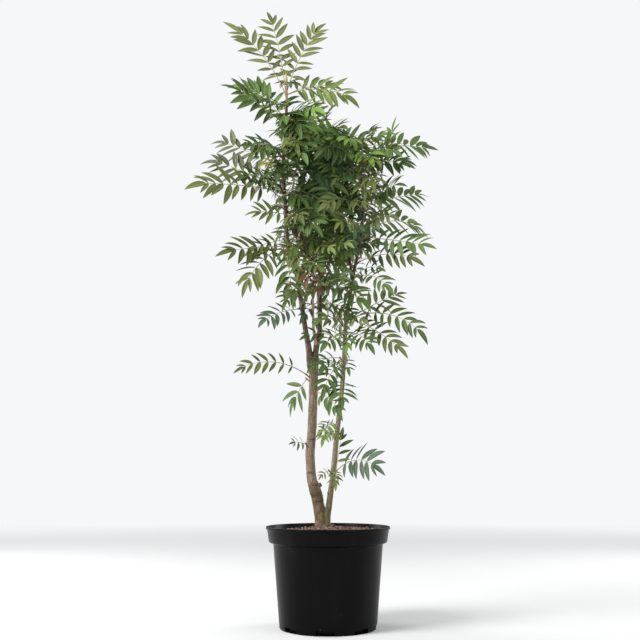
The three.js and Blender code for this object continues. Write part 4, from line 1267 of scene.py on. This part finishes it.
class ROWAN_OT_bark(bpy.types.Operator):
    """Wrap trunk, leaders and twigs in bark with relief, knots and rounded joints"""
    bl_idname = "rowan.bark"
    bl_label = "Trunk and boughs"

    def execute(self, context):
        look = context.scene.rowan_bark
        finishes = {}
        for kind, (low, high, streak, foot) in BARK_KINDS.items():
            ends = getattr(look, low), getattr(look, high)
            finishes[kind] = bark_finish(f"bark_{kind}", *ends, paint(streak), paint(foot))
        for name, rows in LIMBS.items():
            sides = rows[0][3] * BARK["sides_per_radius"]
            sides = int(np.clip(sides, BARK["fewest_sides"], BARK["most_sides"]))
            step = look.ring_step / MM * (BARK["trunk_step"] if name == "trunk_main" else 1)
            points, faces, scar = limb_bark(name, step, sides, look.fillet / MM)
            height = (points[:, 2] - rows[0][0]) / (rows[-1][0] - rows[0][0])
            age = np.clip(1.1 - height ** 4, 0, 1)
            wear = np.clip((BARK["foot_height"] - points[:, 2]) / BARK["foot_fade"], 0, 1)
            wear = wear * BARK["thin_foot_wear" if name == "stem_right" else "foot_wear"]
            piece = put_mesh(f"bark_{name}", points, faces, [finishes[KIND_OF_LIMB.get(name, "leader")]],
                             values={"age": age, "scar": scar, "foot": wear})
            settle(piece, "bark", name)
        self.stump(finishes["trunk"])
        self.tips()
        return {"FINISHED"}

    def stump(self, finish):
        """The stump of a cut branch: a bar flared at its foot, with a flat dark cut."""
        x, y, radius = limb_at("trunk_main", STUB["height"])
        along = direction(STUB["azimuth"], STUB["rise"])
        share = np.array([0, 0.35, 0.5, 0.62, 0.75, 0.9, 0.97, 1.0, 1.0])
        swell = np.array([1.9, 1.8, 1.45, 1.15, 1.0, 0.97, 0.95, 0.9, 0.45]) * STUB["radius"]
        reach = share * (radius + STUB["length"])
        path = np.array([x, y, STUB["height"]]) + along * reach[:, None]
        path[-1] -= along * STUB["hollow"]
        points, faces = tubes(path[None], swell[None], STUB["sides"])
        points += STUB["relief"] * np.sin(points[:, [1, 2, 0]] * STUB["wave"])
        scar = np.repeat([0, 0, 0.3, 0.1, 0, 0, 0.6, 1, 1], STUB["sides"])
        values = {"age": np.ones(len(points)), "scar": scar, "foot": scar * 0.5}
        settle(put_mesh("stump", points, faces, [finish], values=values), "bark", "trunk_main")

    def tips(self):
        """The leaders' growing tips: bars whose radius runs down to a long pointed bud."""
        share = np.array([0, 0.1, 0.25, 0.4, 0.55, 0.66, 0.72, 0.78, 0.85, 0.92, 0.97, 1.0])
        swell = np.array([1.0, 0.93, 0.84, 0.76, 0.7, 0.72, 0.9, 0.98, 0.86, 0.58, 0.3, 0.06])
        finish = stalk_finish("growing_tip", paint("8a6548"), paint("b9b36c"))
        for limb, length, lean in TIPS:
            height, _, _, radius = LIMBS[limb][-1]
            foot = np.array([*limb_at(limb, height)[:2], height - TIP["sunk"]])
            sway = np.array([TIP["sway"], 0, 0]) * np.sin(3 * share)[:, None]
            path = foot + np.array([lean, 0, length]) * share[:, None] + sway
            radii = swell[None] * radius * TIP["width"]
            settle(put_bars(f"tip_{limb}", path[None], radii, TIP["sides"], finish, share ** 3), "bark", limb)


class ROWAN_OT_leaves(bpy.types.Operator):
    """Grow the twigs, leaf stalks and leaflets by the spray rule"""
    bl_idname = "rowan.leaves"
    bl_label = "Sprays"

    def execute(self, context):
        look = context.scene.rowan_leaf
        spurs, leaves = grow_sprays()
        stalks = leaf_paths(leaves, STALK_CHECKS)
        leaves = list(compress(leaves, clear_of_limbs(stalks, LIMB_MARGIN["stalk"])))
        nodes = [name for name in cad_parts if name.startswith(("spray_", "foliage_"))]
        self.twigs(look, spurs, nodes)
        self.stalks(look, leaves)
        grown = grow_leaflets(leaves, look.seed)
        tint_of = np.array([leaf.tint for leaf in leaves])[grown["owner"]]
        for tint, (upper, lower) in TINTS.items():
            chosen = tint_of == tint
            if not chosen.any():
                continue
            finishes = [leaf_finish(f"leaf_{tint}", paint(upper), look.gloss, 1.0),
                        leaf_finish(f"leaf_{tint}_underside", paint(lower), 0.6, 0.6)]
            stands_for = sorted({leaf.spray for leaf in leaves if leaf.tint == tint} & set(nodes))
            lots = np.array_split(np.flatnonzero(chosen), math.ceil(chosen.sum() / LEAFLETS_IN_PIECE))
            for number, lot in enumerate(lots):
                joined = join_leaflets(grown, lot)
                name = f"leaves_{tint}" + (f"_{number + 1}" if len(lots) > 1 else "")
                piece = put_mesh(name, joined["points"], joined["polygons"], finishes, joined["uv"],
                                 joined["values"], joined["sharp"], joined["finish"])
                settle(piece, "leaf", *stands_for)
        return {"FINISHED"}

    def twigs(self, look, spurs, nodes):
        """Spurs as short tapering bars that end in a bud, a swelling that narrows to its tip."""
        share = np.array([0, 0.3, 0.6, 0.9, 1.0, 1.12, 1.3, 1.5, 1.68, 1.8])
        swell = np.array([2.3, 2.0, 1.8, 1.9, 2.2, 2.4, 2.2, 1.6, 0.9, 0.2])
        foot, tip = np.moveaxis(np.array(spurs), 1, 0)
        along = unit(tip - foot)
        reach = np.minimum(share, 1)[None, :, None] * (tip - foot)[:, None]
        bud = np.maximum(share - 1, 0)[None, :, None] * TWIG["bud"] * along[:, None]
        paths, radii = foot[:, None] + reach + bud, np.tile(swell, (len(spurs), 1))
        fade = np.tile(np.clip(share - 0.8, 0, 1), len(spurs))
        finish = stalk_finish("twig", paint("6f5a45"), paint("8a7a4e"))
        settle(put_bars("twigs", paths, radii, TWIG["sides"], finish, fade), "bark", *nodes)

    def stalks(self, look, leaves):
        """Leaf stalks along their leaves' arcs, swollen at the foot and thinning evenly to the tip."""
        s = np.concatenate([[0, 0.02, 0.05], np.linspace(0.1, 0.84, 12)])
        lengths = np.array([leaf.length for leaf in leaves], float)
        base = look.stalk_radius / MM * (STALK["least"] + STALK["gain"] * lengths / STALK["full_length"])
        swollen = 1 + STALK["swelling"] * np.exp(-(s / STALK["swelling_reach"]) ** 2)
        taper = (1 - STALK["taper"] * s) * swollen
        radii, fade = base[:, None] * taper[None], np.tile(s, len(leaves))
        finish = stalk_finish("leaf_stalk", look.stalk, look.stalk_tip)
        settle(put_bars("leaf_stalks", leaf_paths(leaves, s), radii, STALK["sides"], finish, fade), "leaf")


class ROWAN_OT_stage(bpy.types.Operator):
    """Set the floor, the light and the camera"""
    bl_idname = "rowan.stage"
    bl_label = "Stage"

    def execute(self, context):
        look = context.scene.rowan_stage
        scene = context.scene
        scene.view_settings.view_transform = "Standard"
        self.floor(look)
        self.world(look, scene)
        for name, (place, aim, size, setting, share) in LAMPS.items():
            self.lamp(name, place, (0, 0, aim), size, getattr(look, setting) * share)
        data = bpy.data.cameras.new("camera")
        data.lens, data.sensor_width = look.lens, CAMERA["sensor"]
        scene.camera = put_object("camera", data, CAMERA["place"], (math.radians(90 + CAMERA["tilt"]), 0, 0))
        return {"FINISHED"}

    def floor(self, look):
        """A wide round floor, level with the pot's underside, whose own light takes over far out."""
        radius, sides = FLOOR["radius"], FLOOR["sides"]
        turn = bearings(sides)
        points = np.stack([radius * np.cos(turn), radius * np.sin(turn), np.zeros(sides)], -1)
        shader = Shader("floor")
        distance = shader.add("VectorMath", {"operation": "LENGTH"}, {0: shader.place()}, 1)
        far = shader.band(distance, FLOOR["lit_to"], FLOOR["own_light_from"])
        plain = shader.add("BsdfDiffuse", sockets={"Color": (*look.floor_colour, 1)})
        glow = shader.add("Emission", sockets={"Color": SURROUND})
        surface = shader.add("MixShader", sockets={0: far, 1: plain, 2: glow})
        shader.add("OutputMaterial", sockets={"Surface": surface})
        piece = put_mesh("floor", points, [np.arange(sides)[None]], [shader.owner])

    def world(self, look, scene):
        """An even pale surround for the camera, and a softer light from all round for the plant."""
        shader = Shader("surround", bpy.data.worlds)
        seen = shader.add("Background", sockets={0: SURROUND})
        soft = shader.add("Background", sockets={0: SKYLIGHT, 1: look.ambient})
        camera_ray = shader.add("LightPath")
        surface = shader.add("MixShader", sockets={0: camera_ray, 1: soft, 2: seen})
        shader.add("OutputWorld", sockets={0: surface})
        scene.world = shader.owner

    def lamp(self, name, place, target, size, power):
        """A round area lamp that faces its target."""
        data = bpy.data.lights.new(name, "AREA")
        data.shape, data.size, data.energy = "DISK", size, power
        facing = Vector(target) - Vector(place)
        put_object(name, data, place, facing.to_track_quat("-Z", "Y").to_euler())


class ROWAN_PT_panel(bpy.types.Panel):
    """The rowan's pieces and their settings"""
    bl_idname = "ROWAN_PT_panel"
    bl_label = "Young rowan"
    bl_space_type = "VIEW_3D"
    bl_region_type = "UI"
    bl_category = "Rowan"

    def draw(self, context):
        for operator, name, _ in STEPS:
            box = self.layout.box()
            box.operator(operator.bl_idname)
            settings = getattr(context.scene, name)
            for key in settings.bl_rna.properties.keys():
                if key not in ("rna_type", "name"):
                    box.prop(settings, key)


STEPS = [
    (ROWAN_OT_stage, "rowan_stage", RowanStageLook),
    (ROWAN_OT_pot, "rowan_pot", RowanPotLook),
    (ROWAN_OT_soil, "rowan_soil", RowanSoilLook),
    (ROWAN_OT_bark, "rowan_bark", RowanBarkLook),
    (ROWAN_OT_leaves, "rowan_leaf", RowanLeafLook),
]
CLASSES = [*[group for *_, group in STEPS], *[operator for operator, *_ in STEPS], ROWAN_PT_panel]


def register():
    for each in CLASSES:
        bpy.utils.register_class(each)
    for _, name, group in STEPS:
        setattr(bpy.types.Scene, name, bpy.props.PointerProperty(type=group))


def unregister():
    for _, name, _ in STEPS:
        delattr(bpy.types.Scene, name)
    for each in reversed(CLASSES):
        bpy.utils.unregister_class(each)


def main():
    register()
    bpy.ops.rowan.stage()
    bpy.ops.rowan.pot()
    bpy.ops.rowan.soil()
    bpy.ops.rowan.bark()
    bpy.ops.rowan.leaves()


if __name__ == "__main__":
    main()
